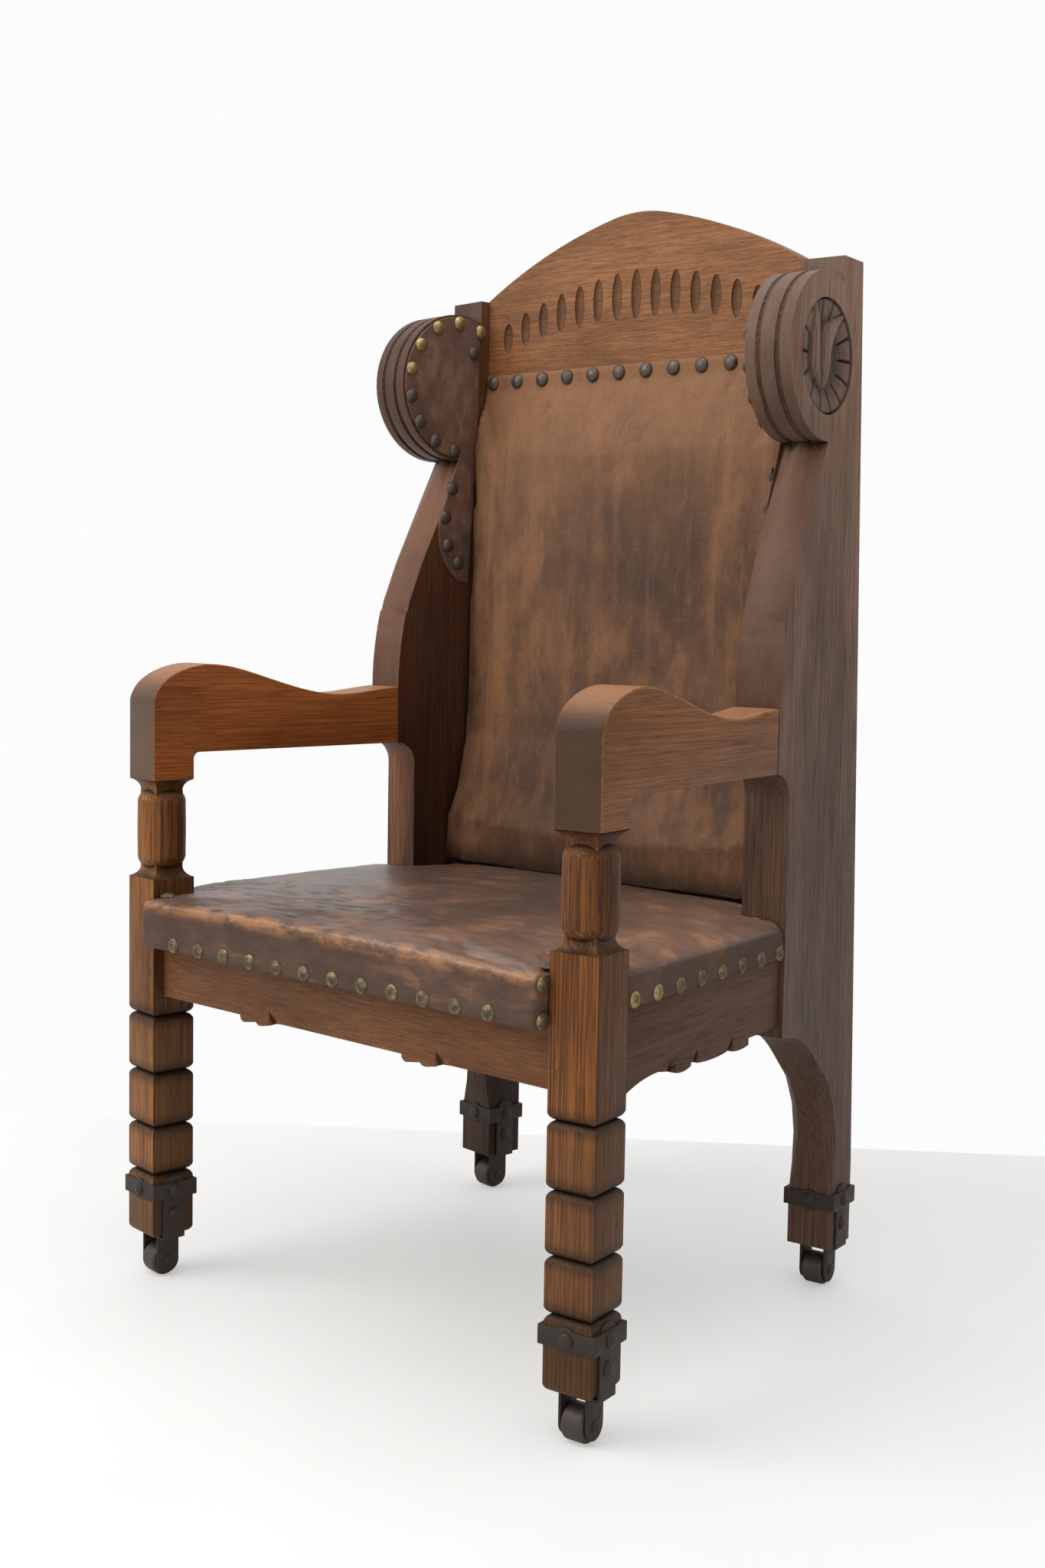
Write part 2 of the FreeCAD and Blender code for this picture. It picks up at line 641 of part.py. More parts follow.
def make_side_rail(name, side):
    start, end = size("leg_size"), size("board_front")
    length, bottom, top = end - start, size("side_rail_bottom"), size("rail_top")
    spots = [(start + share * length, bottom + lift * size("scallop_rise")) for share, lift in scallop_shares]
    rear_low = (end, spots[10][1])
    curves = [line((start, bottom), spots[0]), arc(*spots[0:3]), line(spots[2], spots[3]), arc(*spots[3:6]),
              arc(*spots[5:8]), arc(*spots[7:10]), line(spots[9], spots[10]), line(spots[10], rear_low),
              line(rear_low, (end, top)), line((end, top), (start, top)), line((start, top), (start, bottom))]
    body = new_body(f"{name}_stick")
    thick = size("side_rail_thickness")
    inside = half_leg - size("side_rail_setback") - thick
    begin = inside if side > 0 else -inside - thick
    pad(body, draw(body, "YZ_Plane", curves, begin), "sizes.side_rail_thickness", False)
    place = side_placement(side)
    body.Placement = place
    face = half_leg - size("side_rail_setback")
    chips = [solid(f"{name}_chip", shape, place) for shape in rail_chips(side, face)]
    eye = solid(f"{name}_eye", rail_eye(side, face), place)
    carved = cut(f"{name}_carved", body, chips)
    tenon_thick, reach = size("rail_tenon_thickness"), size("rail_tenon_length")
    shoulder = size("tenon_shoulder")
    corner = V(begin + (thick - tenon_thick) / 2, start - reach, bottom + 2 * shoulder)
    tall = top - bottom - 3 * shoulder
    tenon, mortise = tenon_pair(name, place, corner, tenon_thick, length + 2 * reach, tall)
    return fuse(name, [carved, tenon, eye]), mortise


# Corner blocks glued in the seat frame: two round the front posts and two at the wing boards.
def make_corner_blocks():
    reach, height = size("corner_block_reach"), size("corner_block_height")
    top = size("rail_top")
    inside = half_leg - size("side_rail_setback") - size("side_rail_thickness")
    rail_back = front_y + size("front_rail_setback") + size("front_rail_thickness")
    rear_front = front_y + size("rear_rail_reach")
    shapes = []
    for side in sides.values():
        corner = side * inner_x(rail_back)
        leg = size("leg_size")
        front = [V(corner - side * reach, rail_back), V(corner, rail_back), side_point(side, leg, -half_leg),
                 side_point(side, leg, inside), side_point(side, leg + reach, inside)]
        rear_corner = side * inner_x(rear_front)
        ahead = rear_front - reach
        rear = [V(rear_corner - side * reach, rear_front), V(rear_corner, rear_front),
                V(side * inner_x(ahead), ahead)]
        shapes += [prism(points, top - height, top) for points in (front, rear)]
    return solid("corner_blocks", Part.Compound(shapes))


# Girth webbing: straps across the seat, and straps from front to rear over them.
def make_webbing():
    wide, thick = size("web_width"), size("web_thickness")
    near = front_y + size("front_rail_setback")
    far = front_y + size("rear_rail_reach") + size("rear_rail_thickness")
    inside = half_leg - size("side_rail_setback") - size("side_rail_thickness") / 2
    low = size("rail_top")
    first, last = size("leg_size") + wide, size("board_front") - wide
    across, along = int(size("web_count_across")), int(size("web_count_along"))
    shapes = []
    for index in range(across):
        reach = first + (last - first) * index / (across - 1)
        ends = [side_point(1, spot, inside) for spot in (reach - wide / 2, reach + wide / 2)]
        outline = [V(-ends[0].x, ends[0].y), ends[0], ends[1], V(-ends[1].x, ends[1].y)]
        shapes.append(prism(outline, low, low + thick))
    step = 2 * (inner_x(far) - wide) / (along - 1)
    for index in range(along):
        middle = (index - (along - 1) / 2) * step
        left, right = middle - wide / 2, middle + wide / 2
        strap = [V(left, near), V(right, near), V(right, far), V(left, far)]
        shapes.append(prism(strap, low + thick, low + 2 * thick))
    return solid("seat_webbing", Part.Compound(shapes))


# The seat's upper edges: the one along its front and the two along its sides.
def front_brim(shape, proud):
    spots = [(edge, edge.BoundBox) for edge in shape.Edges]
    return [edge for edge, spot in spots if spot.ZMin > size("seat_edge_top") - size("seat_edge_round")
            and abs(spot.YMin - proud) < size("soft_gap") and spot.YLength < size("soft_gap")]


def side_brims(shape):
    outer = size("half_span") - size("leg_size")
    spots = [(edge, edge.BoundBox) for edge in shape.Edges]
    return [edge for edge, spot in spots if spot.ZMin > size("seat_edge_top") - size("seat_edge_round")
            and min(abs(spot.XMin), abs(spot.XMax)) > outer and spot.YLength > 2 * size("leg_size")]


# The seat's crown is part of a large ball: its radius and centre.
def seat_ball():
    reach = math.hypot(size("half_span"), size("seat_rear") / 2)
    radius = (reach ** 2 + size("seat_crown") ** 2) / (2 * size("seat_crown"))
    return radius, V(0, front_y + size("seat_rear") / 2, size("seat_edge_top") + size("seat_crown") - radius)


# Seat: leather over stuffing with a low crown, cut out round the posts and stopped at the boards.
def make_seat():
    gap, leg = size("soft_gap"), size("leg_size")
    proud = front_y - size("leather_proud")
    outline = []
    for side in (1, -1):
        lip = side_point(side, 0, -half_leg - gap)
        points = [V(lip.x, proud), side_point(side, leg + gap, -half_leg - gap),
                  side_point(side, leg + gap, half_leg),
                  side_point(side, size("board_front") - gap, half_leg),
                  side_point(side, size("board_front") - gap, -half_leg - gap),
                  side_point(side, size("seat_rear"), -half_leg - gap)]
        outline += points if side > 0 else points[::-1]
    crest = size("seat_edge_top") + size("seat_crown")
    bulk = prism(outline, size("seat_front_bottom"), crest + size("overrun"))
    rail_face = half_leg - size("side_rail_setback") + gap
    rail_front = front_y + size("front_rail_setback") - gap
    rear = front_y + size("seat_rear") + size("overrun")
    wide_front, wide_rear = face_x(rail_front, rail_face), face_x(rear, rail_face)
    hollow = [V(-wide_front, rail_front), V(wide_front, rail_front), V(wide_rear, rear), V(-wide_rear, rear)]
    bulk = bulk.cut(prism(hollow, 0, pad_underside))
    wide = size("half_span") + size("leg_size")
    flank = [V(-wide, front_y), V(wide, front_y), V(wide, rear), V(-wide, rear)]
    bulk = bulk.cut(prism(flank, 0, size("seat_side_bottom")))
    crowned = bulk.common(Part.makeSphere(*seat_ball()))
    rolled = crowned.makeFillet(size("seat_side_round"), side_brims(crowned))
    return solid("seat_pad", rolled.makeFillet(size("seat_edge_round"), front_brim(rolled, proud)))


# Back: a leather panel that stands further off the boards towards the seat, lofted over level sections.
# Each entry is a share of the pad's height and the stand-off of its edges as a share of the bulge.
back_stand_shares = [(1.0, 0.07), (0.96, 0.07), (0.905, 0.30), (0.85, 0.40), (0.58, 0.50), (0.26, 0.58),
                     (0.15, 0.80), (0.08, 1.0), (0.0, 0.98)]


def make_back_pad():
    gap = size("soft_gap")
    bottom, height = size("back_pad_bottom"), size("back_pad_top") - size("back_pad_bottom")
    sections = []
    for share, stand in back_stand_shares:
        level = bottom + share * height
        rear = back_y - gap
        near = rear - stand * size("back_pad_bulge")
        crown = near - (stand - back_stand_shares[0][1]) * size("back_pad_crown")
        points = [V(-inner_x(rear, gap), rear, level), V(inner_x(rear, gap), rear, level),
                  V(inner_x(near, gap), near, level), V(-inner_x(near, gap), near, level)]
        middle = V(0, crown, level)
        arched = crown < near
        front = Part.Arc(points[2], middle, points[3]) if arched else Part.LineSegment(points[2], points[3])
        rails = [Part.makeLine(points[index - 1], points[index]) for index in range(3)]
        sections.append(Part.Wire(rails + [front.toShape()]))
    return solid("back_pad", Part.makeLoft(sections, True, True))


# Wing patch: leather nailed on the inner face of each scroll, drawn to a point at the edge of the back.
# Its points are shares of the scroll's radius from the scroll's centre.
patch_rim_share = 0.97
patch_wing_share = 0.36
patch_shares = [(-0.31, -1.75), (-0.333, -2.2), (0.10, -2.72), (0.14, -0.80), (0.34, 0.22)]


def scroll_point(across, upward):
    radius = size("scroll_radius")
    return scroll_reach + across * radius, scroll_height + upward * radius


def make_wing_patch(name, side):
    rim, wing = patch_rim_share, patch_wing_share
    begin = scroll_point(wing, math.sqrt(rim ** 2 - wing ** 2))
    notch = scroll_point(0, -rim)
    waist, turn, tip, seam, top = [scroll_point(*share) for share in patch_shares]
    curves = [arc(begin, scroll_point(-rim, 0), notch), line(notch, waist), arc(waist, turn, tip),
              line(tip, seam), line(seam, top), line(top, begin)]
    body = new_body(name)
    face = half_leg + size("soft_gap")
    start = -face - size("patch_thickness") if side > 0 else face
    pad(body, draw(body, "YZ_Plane", curves, start), "sizes.patch_thickness", False)
    body.Placement = side_placement(side)
    return body


# Domed nail heads, each a short cone standing on the leather.
def nail(spot, direction):
    return Part.makeCone(size("nail_radius"), size("nail_radius") / 2, size("nail_height"), spot, direction)


nail_ring_share = 0.88
nail_ring_turns = [66, 92, 118, 144, 168, 192, 216, 240, 264]
low_nail_shares = [(-0.12, -1.4), (-0.24, -1.8), (-0.19, -2.19), (0.0, -2.43), (0.24, 0.5)]


def make_wing_nails(name, side):
    spots = [(nail_ring_share * math.cos(math.radians(turn)), nail_ring_share * math.sin(math.radians(turn)))
             for turn in nail_ring_turns]
    face = half_leg + size("soft_gap") + size("patch_thickness")
    shapes = []
    for share in spots + low_nail_shares:
        reach, height = scroll_point(*share)
        shapes.append(nail(V(-side * face, reach, height), V(-side, 0, 0)))
    return solid(name, Part.Compound(shapes), side_placement(side))


# One nail holds the seat's leather down beside each post.
def top_nail(side):
    radius, middle = seat_ball()
    beside = side_point(side, half_leg / 2, -half_leg - size("soft_gap") - size("nail_radius"))
    upward = V(beside.x, beside.y, middle.z + math.sqrt(radius ** 2 - beside.x ** 2)) - middle
    upward.normalize()
    return nail(middle + upward * radius, upward)


def make_seat_nails():
    count, pitch = int(size("front_nail_count")), size("front_nail_pitch")
    face = front_y - size("leather_proud")
    level = size("seat_front_bottom") + size("nail_rise")
    shapes = [nail(V((index - (count - 1) / 2) * pitch, face, level), V(0, -1, 0)) for index in range(count)]
    side_count, side_pitch = int(size("side_nail_count")), size("side_nail_pitch")
    middle = (size("leg_size") + size("board_front")) / 2
    side_level = size("seat_side_bottom") + size("nail_rise")
    corner = side_point(1, 0, -half_leg - size("soft_gap")).x
    for lift in (0, size("corner_nail_rise")):
        shapes.append(nail(V(corner, front_y - size("leather_proud") / 2, level + lift), V(1, 0, 0)))
    for side in sides.values():
        shapes.append(top_nail(side))
        outward = V(side * math.cos(splay), math.sin(splay), 0)
        for index in range(side_count):
            reach = middle + (index - (side_count - 1) / 2) * side_pitch
            shapes.append(nail(side_point(side, reach, half_leg, side_level), outward))
    return solid("seat_nails", Part.Compound(shapes))


nail_edge_share = 1.7


def make_back_nails():
    count = int(size("back_nail_count"))
    face = back_y - size("soft_gap") - back_stand_shares[0][1] * size("back_pad_bulge")
    edge = inner_x(face) - nail_edge_share * size("nail_radius")
    step = 2 * edge / (count - 1)
    spots = [V(index * step - edge, face, size("back_nail_height")) for index in range(count)]
    return solid("back_nails", Part.Compound([nail(spot, V(0, -1, 0)) for spot in spots]))


# Square peg driven through each front post and the tenon of the front rail.
def peg_box(name, side, gap=0):
    width, inset = size("peg_width") + 2 * gap, half_leg - size("peg_inset")
    level = size("front_rail_bottom") + size("peg_rise")
    corner = V(-side * inset - width / 2, -size("peg_stand"), level - width / 2)
    return box(name, corner, width, size("peg_length") + gap, width, side_placement(side))


def make_pegs():
    pegs = [peg_box(f"{side_name}_peg", side) for side_name, side in sides.items()]
    return fuse("oak_pegs", pegs)


# Casters: a strap fork under the foot, held by a riveted band, with a roller on a riveted axle.
ear_inside = size("wheel_width") / 2 + size("ear_gap")
ear_outside = ear_inside + size("strap_thickness")
strap_outside = half_leg + size("strap_thickness")


def revolve(body, curves):
    profile = draw(body, "XZ_Plane", curves)
    feature = body.newObject("PartDesign::Revolution", f"{body.Name}_turned")
    feature.Profile = profile
    feature.ReferenceAxis = (profile, ["H_Axis"])
    feature.Angle = 360


def make_wheel(name, side, reach):
    half, outer, bore = size("wheel_width") / 2, size("wheel_radius"), size("axle_radius") + size("axle_fit")
    rounding = size("wheel_round")
    bend = rounding * (1 - math.sqrt(0.5))
    body = new_body(name)
    curves = [line((-half, bore), (half, bore)), line((half, bore), (half, outer - rounding)),
              arc((half, outer - rounding), (half - bend, outer - bend), (half - rounding, outer)),
              line((half - rounding, outer), (rounding - half, outer)),
              arc((rounding - half, outer), (bend - half, outer - bend), (-half, outer - rounding)),
              line((-half, outer - rounding), (-half, bore))]
    revolve(body, curves)
    body.Placement = side_placement(side, reach, outer)
    return body


def make_axle(name, side, reach):
    body = new_body(name)
    pin, head, end = size("axle_radius"), size("axle_head_radius"), ear_outside + size("axle_head")
    points = [(-end, 0), (end, 0), (end, head / 2), (ear_outside, head), (ear_outside, pin),
              (-ear_outside, pin), (-ear_outside, head), (-end, head / 2)]
    revolve(body, lines(points))
    body.Placement = side_placement(side, reach, size("wheel_radius"))
    return body


strap_top = size("band_bottom") + size("band_height") + size("strap_rise")
rivet_level = size("band_bottom") + size("band_height") / 2


# Outline of all that lies above or below the strap's rounded end, for trimming it.
def end_trim(level, way):
    half, over = size("strap_width") / 2, size("overrun")
    tip, wide = level + way * half, half + over
    outside = tip + way * over
    return [arc((-half, level), (0, tip), (half, level)), line((half, level), (wide, level)),
            line((wide, level), (wide, outside)), line((wide, outside), (-wide, outside)),
            line((-wide, outside), (-wide, level)), line((-wide, level), (-half, level))]


def make_fork(name, side, reach):
    body = new_body(name)
    thick, foot = size("strap_thickness"), size("foot_height")
    half, axle, plate = size("strap_width") / 2, size("wheel_radius"), foot - thick
    low = axle - half
    right = [(ear_inside, plate), (ear_inside, low), (ear_outside, low), (ear_outside, plate),
             (strap_outside, plate), (strap_outside, strap_top), (half_leg, strap_top), (half_leg, foot)]
    left = [(-x, z) for x, z in right]
    pad(body, draw(body, "XZ_Plane", lines(right + left[::-1])), "sizes.strap_width")
    pocket_through(body, draw(body, "YZ_Plane", end_trim(axle, -1) + end_trim(strap_top - half, 1)))
    hole = ring((0, axle), size("axle_radius") + size("axle_fit") / 2)
    pocket_through(body, draw(body, "YZ_Plane", [hole]))
    body.Placement = side_placement(side, reach)
    return body


# Band round the foot, over the straps, with a round eye on its front and rear for the rivets.
def make_band(name, side, reach):
    body = new_body(f"{name}_hoop")
    slot = size("strap_width") / 2 + size("joint_gap")
    wide, deep = strap_outside + size("band_thickness"), half_leg + size("band_thickness")
    outer = [(-wide, -deep), (wide, -deep), (wide, deep), (-wide, deep)]
    front = [(-half_leg, -half_leg), (half_leg, -half_leg), (half_leg, -slot), (strap_outside, -slot),
             (strap_outside, slot), (half_leg, slot)]
    rear = [(-x, -y) for x, y in front]
    hoop = draw(body, "XY_Plane", lines(outer) + lines(front + rear), size("band_bottom"))
    pad(body, hoop, "sizes.band_height", False)
    body.Placement = side_placement(side, reach)
    eyes = []
    for way in (1, -1):
        eye = doc.addObject("Part::Cylinder", f"{name}_eye")
        eye.setExpression("Radius", "sizes.eye_radius")
        eye.setExpression("Height", "sizes.band_thickness")
        spot, turn = V(0, way * half_leg, rivet_level), FreeCAD.Rotation(V(0, 0, 1), V(0, way, 0))
        eye.Placement = body.Placement.multiply(FreeCAD.Placement(spot, turn))
        eyes.append(eye)
    return fuse(name, [body] + eyes)


def make_rivets(name, side, reach):
    radius, rise = size("rivet_radius"), size("rivet_height")
    wide, deep = strap_outside + size("band_thickness"), half_leg + size("band_thickness")
    spots = [(V(0, way * deep, rivet_level), V(0, way, 0)) for way in (1, -1)]
    spots += [(V(way * wide, 0, rivet_level), V(way, 0, 0)) for way in (1, -1)]
    spots += [(V(way * strap_outside, 0, rivet_level - size("rivet_drop")), V(way, 0, 0)) for way in (1, -1)]
    heads = [Part.makeCone(radius, radius / 2, rise, spot, direction) for spot, direction in spots]
    return solid(name, Part.Compound(heads), side_placement(side, reach))


def make_caster(corner, side, reach):
    makers = {"wheel": make_wheel, "axle": make_axle, "fork": make_fork, "band": make_band,
              "rivets": make_rivets}
    return [maker(f"{corner}_caster_{part}", side, reach) for part, maker in makers.items()]


# The joined pieces of the two side frames take their mortises once every tenon has been made.
def make_side_frames():
    made = []
    rail_holes = []
    cross_rails = [make_crest(), make_back_rail(), make_rear_rail()]
    front_rail = make_front_rail()
    for side_name, side in sides.items():
        post, socket = make_front_post(f"front_post_{side_name}", side)
        arm, arm_mortise = make_arm(f"arm_{side_name}", side)
        board, carving = make_board(f"side_board_{side_name}", side)
        rail, rail_mortise = make_side_rail(f"side_seat_rail_{side_name}", side)
        hole = peg_box(f"{side_name}_peg_hole", side, size("joint_gap"))
        rail_holes.append(hole)
        sockets = mortises[side_name] + [rail_mortise]
        made += [cut(f"arm_{side_name}", arm, [socket]), rail,
                 cut(f"front_post_{side_name}", post, sockets + [hole]),
                 cut(f"side_board_{side_name}", board, sockets + carving + [arm_mortise])]
    return made + cross_rails + [cut("front_seat_rail", front_rail, rail_holes)]


def check_pieces(pieces):
    doc.recompute()
    for item in doc.Objects:
        if "Invalid" in item.State or "Error" in item.State:
            raise RuntimeError(f"{item.Label} failed: {item.State}")
    for piece in pieces:
        if piece.Shape.isNull() or not piece.Shape.isValid():
            raise RuntimeError(f"{piece.Label} has no valid shape")


pieces = make_side_frames()
pieces += [make_back_panel(), make_corner_blocks(), make_webbing(), make_seat(), make_back_pad(), make_pegs()]
pieces += [make_seat_nails(), make_back_nails()]
for side_name, side in sides.items():
    pieces.append(make_wing_patch(f"wing_leather_{side_name}", side))
    pieces.append(make_wing_nails(f"wing_nails_{side_name}", side))
    pieces += make_caster(f"front_{side_name}", side, half_leg)
    pieces += make_caster(f"rear_{side_name}", side, size("board_rear") - half_leg)

check_pieces(pieces)
os.makedirs("parts", exist_ok=True)
for piece in pieces:
    piece.Shape.exportStep(f"parts/{piece.Label}.step")
print(len(pieces), "pieces written")
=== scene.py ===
import bpy
import bmesh
import math
from mathutils import Matrix, Vector, noise


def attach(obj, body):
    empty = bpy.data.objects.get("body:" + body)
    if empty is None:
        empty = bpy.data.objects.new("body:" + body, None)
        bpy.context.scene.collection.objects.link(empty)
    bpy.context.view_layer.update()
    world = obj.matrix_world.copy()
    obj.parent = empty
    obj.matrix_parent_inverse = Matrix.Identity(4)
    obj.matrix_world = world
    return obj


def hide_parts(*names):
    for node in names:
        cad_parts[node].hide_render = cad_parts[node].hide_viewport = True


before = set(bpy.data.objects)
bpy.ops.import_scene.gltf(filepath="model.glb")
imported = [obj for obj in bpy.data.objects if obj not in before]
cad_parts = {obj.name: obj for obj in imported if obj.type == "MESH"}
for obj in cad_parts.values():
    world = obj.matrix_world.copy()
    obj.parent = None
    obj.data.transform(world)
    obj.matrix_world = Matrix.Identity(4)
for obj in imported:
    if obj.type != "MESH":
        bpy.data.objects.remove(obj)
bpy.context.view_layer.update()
print("frame loaded")

# camera fitted to the photo, lights and floor
studio = {
    "azimuth": 41.2, "tilt": 4.24, "gapShade": 0.96, "place": (1.448, -1.640, 0.827), "lens": 42.2, "sensor": 36,
    "shift": (0.0023, -0.0268), "clipEnd": 60, "skyLevel": 0.42, "white": 0.975,
    "floorTone": (0.93, 0.925, 0.91), "floorSize": 14.0, "floorGlow": (0.89, 0.885, 0.87), "floorLift": 0.45,
    "dustScale": (3, 3, 3), "dustLevel": (0.35, 0.7), "dustShare": 0.5, "dustShade": 0.94, "floorRough": 0.6,
    "wallTurn": 36.2, "wallDistance": 0.640, "wallFade": 0.004,
}
# each lamp's place, aim, size and power
lamps = {
    "keyLamp": ((-1.7, -2.7, 2.9), (0, 0, 0.7), 3.2, 98),
    "fillLamp": ((2.7, -1.9, 1.7), (0, 0, 0.7), 2.4, 11),
    "topLamp": ((0.4, -0.3, 4.2), (0, 0, 0), 4.5, 98),
}


def setCamera():
    azimuth, tilt, gapShade = (math.radians(studio[key]) for key in ("azimuth", "tilt", "gapShade"))
    ahead = Vector((-math.sin(azimuth) * math.cos(tilt), math.cos(azimuth) * math.cos(tilt), -math.sin(tilt)))
    right = Vector((math.cos(azimuth), math.sin(azimuth), 0))
    up = right.cross(ahead)
    across = right * math.cos(gapShade) + up * math.sin(gapShade)
    upright = up * math.cos(gapShade) - right * math.sin(gapShade)
    data = bpy.data.cameras.new("photoView")
    data.lens, data.sensor_width = studio["lens"], studio["sensor"]
    data.shift_x, data.shift_y = studio["shift"]
    data.clip_end = studio["clipEnd"]
    camera = bpy.data.objects.new("photoView", data)
    turn = Matrix((across, upright, -ahead)).transposed().to_4x4()
    camera.matrix_world = Matrix.Translation(studio["place"]) @ turn
    bpy.context.collection.objects.link(camera)
    bpy.context.scene.camera = camera


def addLamp(name, place, aim, size, power):
    data = bpy.data.lights.new(name, "AREA")
    data.shape, data.size, data.energy = "DISK", size, power
    lamp = bpy.data.objects.new(name, data)
    lamp.location = place
    lamp.rotation_euler = (Vector(aim) - Vector(place)).to_track_quat("-Z", "Y").to_euler()
    bpy.context.collection.objects.link(lamp)


# a wrapped socket, so that shader maths is written as sums
class Tone:
    def __init__(self, finish, socket):
        self.finish, self.socket = finish, socket

    def math(self, operation, *values):
        node = self.finish.add("ShaderNodeMath", {"operation": operation}, dict(enumerate(values)))
        return Tone(self.finish, node.outputs[0])

    def __add__(self, other): return self.math("ADD", self, other)
    def __radd__(self, other): return self.math("ADD", other, self)
    def __sub__(self, other): return self.math("SUBTRACT", self, other)
    def __rsub__(self, other): return self.math("SUBTRACT", other, self)
    def __mul__(self, other): return self.math("MULTIPLY", self, other)
    def __rmul__(self, other): return self.math("MULTIPLY", other, self)

    def away(self): return self.math("ABSOLUTE", self)
    def wave(self): return self.math("SINE", self)

    def between(self, low, high):
        inputs = {"Value": self, "From Min": low, "From Max": high}
        node = self.finish.add("ShaderNodeMapRange", {"interpolation_type": "SMOOTHSTEP"}, inputs)
        return Tone(self.finish, node.outputs[0])


class Finish:
    def __init__(self, name):
        self.material = bpy.data.materials.new(name)
        self.material.use_nodes = True
        self.tree = self.material.node_tree
        self.tree.nodes.clear()
        self.shader = self.add("ShaderNodeBsdfPrincipled", {}, {})
        self.add("ShaderNodeOutputMaterial", {}, {"Surface": self.shader.outputs[0]})
        self.place = self.add("ShaderNodeTexCoord", {}, {}).outputs["Object"]

    def add(self, kind, settings, inputs):
        node = self.tree.nodes.new(kind)
        for key, value in settings.items():
            setattr(node, key, value)
        for key, value in inputs.items():
            self.plug(node.inputs[key], value)
        return node

    def plug(self, socket, value):
        value = value.socket if isinstance(value, Tone) else value
        if isinstance(value, bpy.types.NodeSocket):
            self.tree.links.new(value, socket)
        elif isinstance(value, tuple) and socket.type == "RGBA":
            socket.default_value = (*value, 1)
        else:
            socket.default_value = value

    def stretch(self, scale, turn=(0, 0, 0)):
        inputs = {"Vector": self.place, "Scale": scale, "Rotation": turn}
        return self.add("ShaderNodeMapping", {}, inputs).outputs[0]

    def cloud(self, vector, detail=3.0, rough=0.5, warp=0.0):
        inputs = {"Vector": vector, "Scale": 1.0, "Detail": detail, "Roughness": rough, "Distortion": warp}
        return Tone(self, self.add("ShaderNodeTexNoise", {}, inputs).outputs["Fac"])

    def cells(self, vector, feature="F1"):
        node = self.add("ShaderNodeTexVoronoi", {"feature": feature}, {"Vector": vector, "Scale": 1.0})
        return Tone(self, node.outputs["Distance"])

    def axis(self, which):
        node = self.add("ShaderNodeSeparateXYZ", {}, {0: self.place})
        return Tone(self, node.outputs[which])

    def mix(self, amount, first, second):
        settings = {"data_type": "RGBA", "clamp_factor": True}
        return self.add("ShaderNodeMix", settings, {0: amount, 6: first, 7: second}).outputs[2]

    def scaled(self, body, amount):
        return self.add("ShaderNodeVectorMath", {"operation": "SCALE"}, {0: body, "Scale": amount}).outputs[0]

    # the place as seen along the splayed side frames, both sides alike
    def alongSides(self, splay):
        inputs = {0: self.axis(0).away(), 1: self.axis(1), 2: self.axis(2)}
        place = self.add("ShaderNodeCombineXYZ", {}, inputs).outputs[0]
        return self.add("ShaderNodeMapping", {}, {"Vector": place, "Rotation": (0, 0, -splay)}).outputs[0]

    # a colour times the face's own tint
    def tinted(self, body, name):
        tint = self.add("ShaderNodeAttribute", {"attribute_name": name}, {}).outputs["Vector"]
        return self.add("ShaderNodeVectorMath", {"operation": "MULTIPLY"}, {0: body, 1: tint}).outputs[0]

    # darkening in the piece's own corners and hollows, from its ambient occlusion
    def hollowDarkening(self, reach, low, high):
        node = self.add("ShaderNodeAmbientOcclusion", {"only_local": True, "samples": 6}, {"Distance": reach})
        return 1 - Tone(self, node.outputs["AO"]).between(low, high)

    def bump(self, height, strength, depth):
        inputs = {"Height": height, "Strength": strength, "Distance": depth}
        return self.add("ShaderNodeBump", {}, inputs).outputs[0]

    def surface(self, **sockets):
        for name, value in sockets.items():
            self.plug(self.shader.inputs[name.replace("_", " ")], value)
        return self.material


def shade(colour, amount):
    return tuple(channel * amount for channel in colour)


# the two side frames stand splayed; reach runs back from the post's front face
sideFrame = {"splay": math.radians(6.6), "halfSpan": 0.338, "frontY": -0.285987, "halfLeg": 0.028}

# old oak, with its grain turned along x, y or z, times each face's own tint of wear and painted light and
# shade
oakLook = {
    "orders": {"z": (0, 1, 2), "y": (0, 2, 1), "x": (2, 0, 1)}, "streakScale": (560, 5),
    "bandScale": (70, 1.6), "poreScale": (760, 15), "fibreScale": (1700, 26), "blotchScale": (11, 4),
    "bandLevel": (0.36, 0.64), "streakLevel": (0.41, 0.61), "poreLevel": (0.55, 0.66),
    "blotchLevel": (0.42, 0.70), "fibreLevel": (0.55, 0.8), "hollowLevel": (0.42, 0.96), "hollowReach": 0.016,
    "bandShare": 0.28, "blotchShare": 0.5, "streakFill": 0.4, "poreShare": 0.72, "poreShade": 0.40,
    "fibreShare": 0.25, "hollowShare": 0.85, "hollowShade": 0.22, "relief": (0.4, 0.35, 0.9),
    "dull": (0.22, 0.16), "bump": (0.4, 0.0006), "shine": 0.18, "riseLevel": (0.45, 1.2), "riseStart": 0.4,
    "seatShade": (0.34, 0.45),
}
# on the front posts: dirt and painted shade round each notch, soil on the foot, and a thin film over the
# cubes
postSoilAndShade = {
    "notches": (0.1317, 0.1901, 0.2562, 0.3259), "reach": (0.004, 0.018), "notchShare": 0.62,
    "foot": (0.085, 0.135), "footShare": 0.60, "film": (0.318, 0.334), "filmTone": (0.12, 0.07, 0.03),
    "filmShare": 0.22, "patchStart": 0.5, "shade": 0.5,
}


def soilAndShadePost(finish, body, blotch, dark):
    up = finish.axis(2)
    film = (1 - up.between(*postSoilAndShade["film"])) * postSoilAndShade["filmShare"]
    body = finish.mix(film, body, postSoilAndShade["filmTone"])
    soilAndShade = (1 - up.between(*postSoilAndShade["foot"])) * postSoilAndShade["footShare"]
    for notch in postSoilAndShade["notches"]:
        soilAndShade = soilAndShade + (1 - (up - notch).away().between(*postSoilAndShade["reach"])) * postSoilAndShade["notchShare"]
    return finish.mix(soilAndShade * (postSoilAndShade["patchStart"] + blotch), body, shade(dark, postSoilAndShade["shade"]))


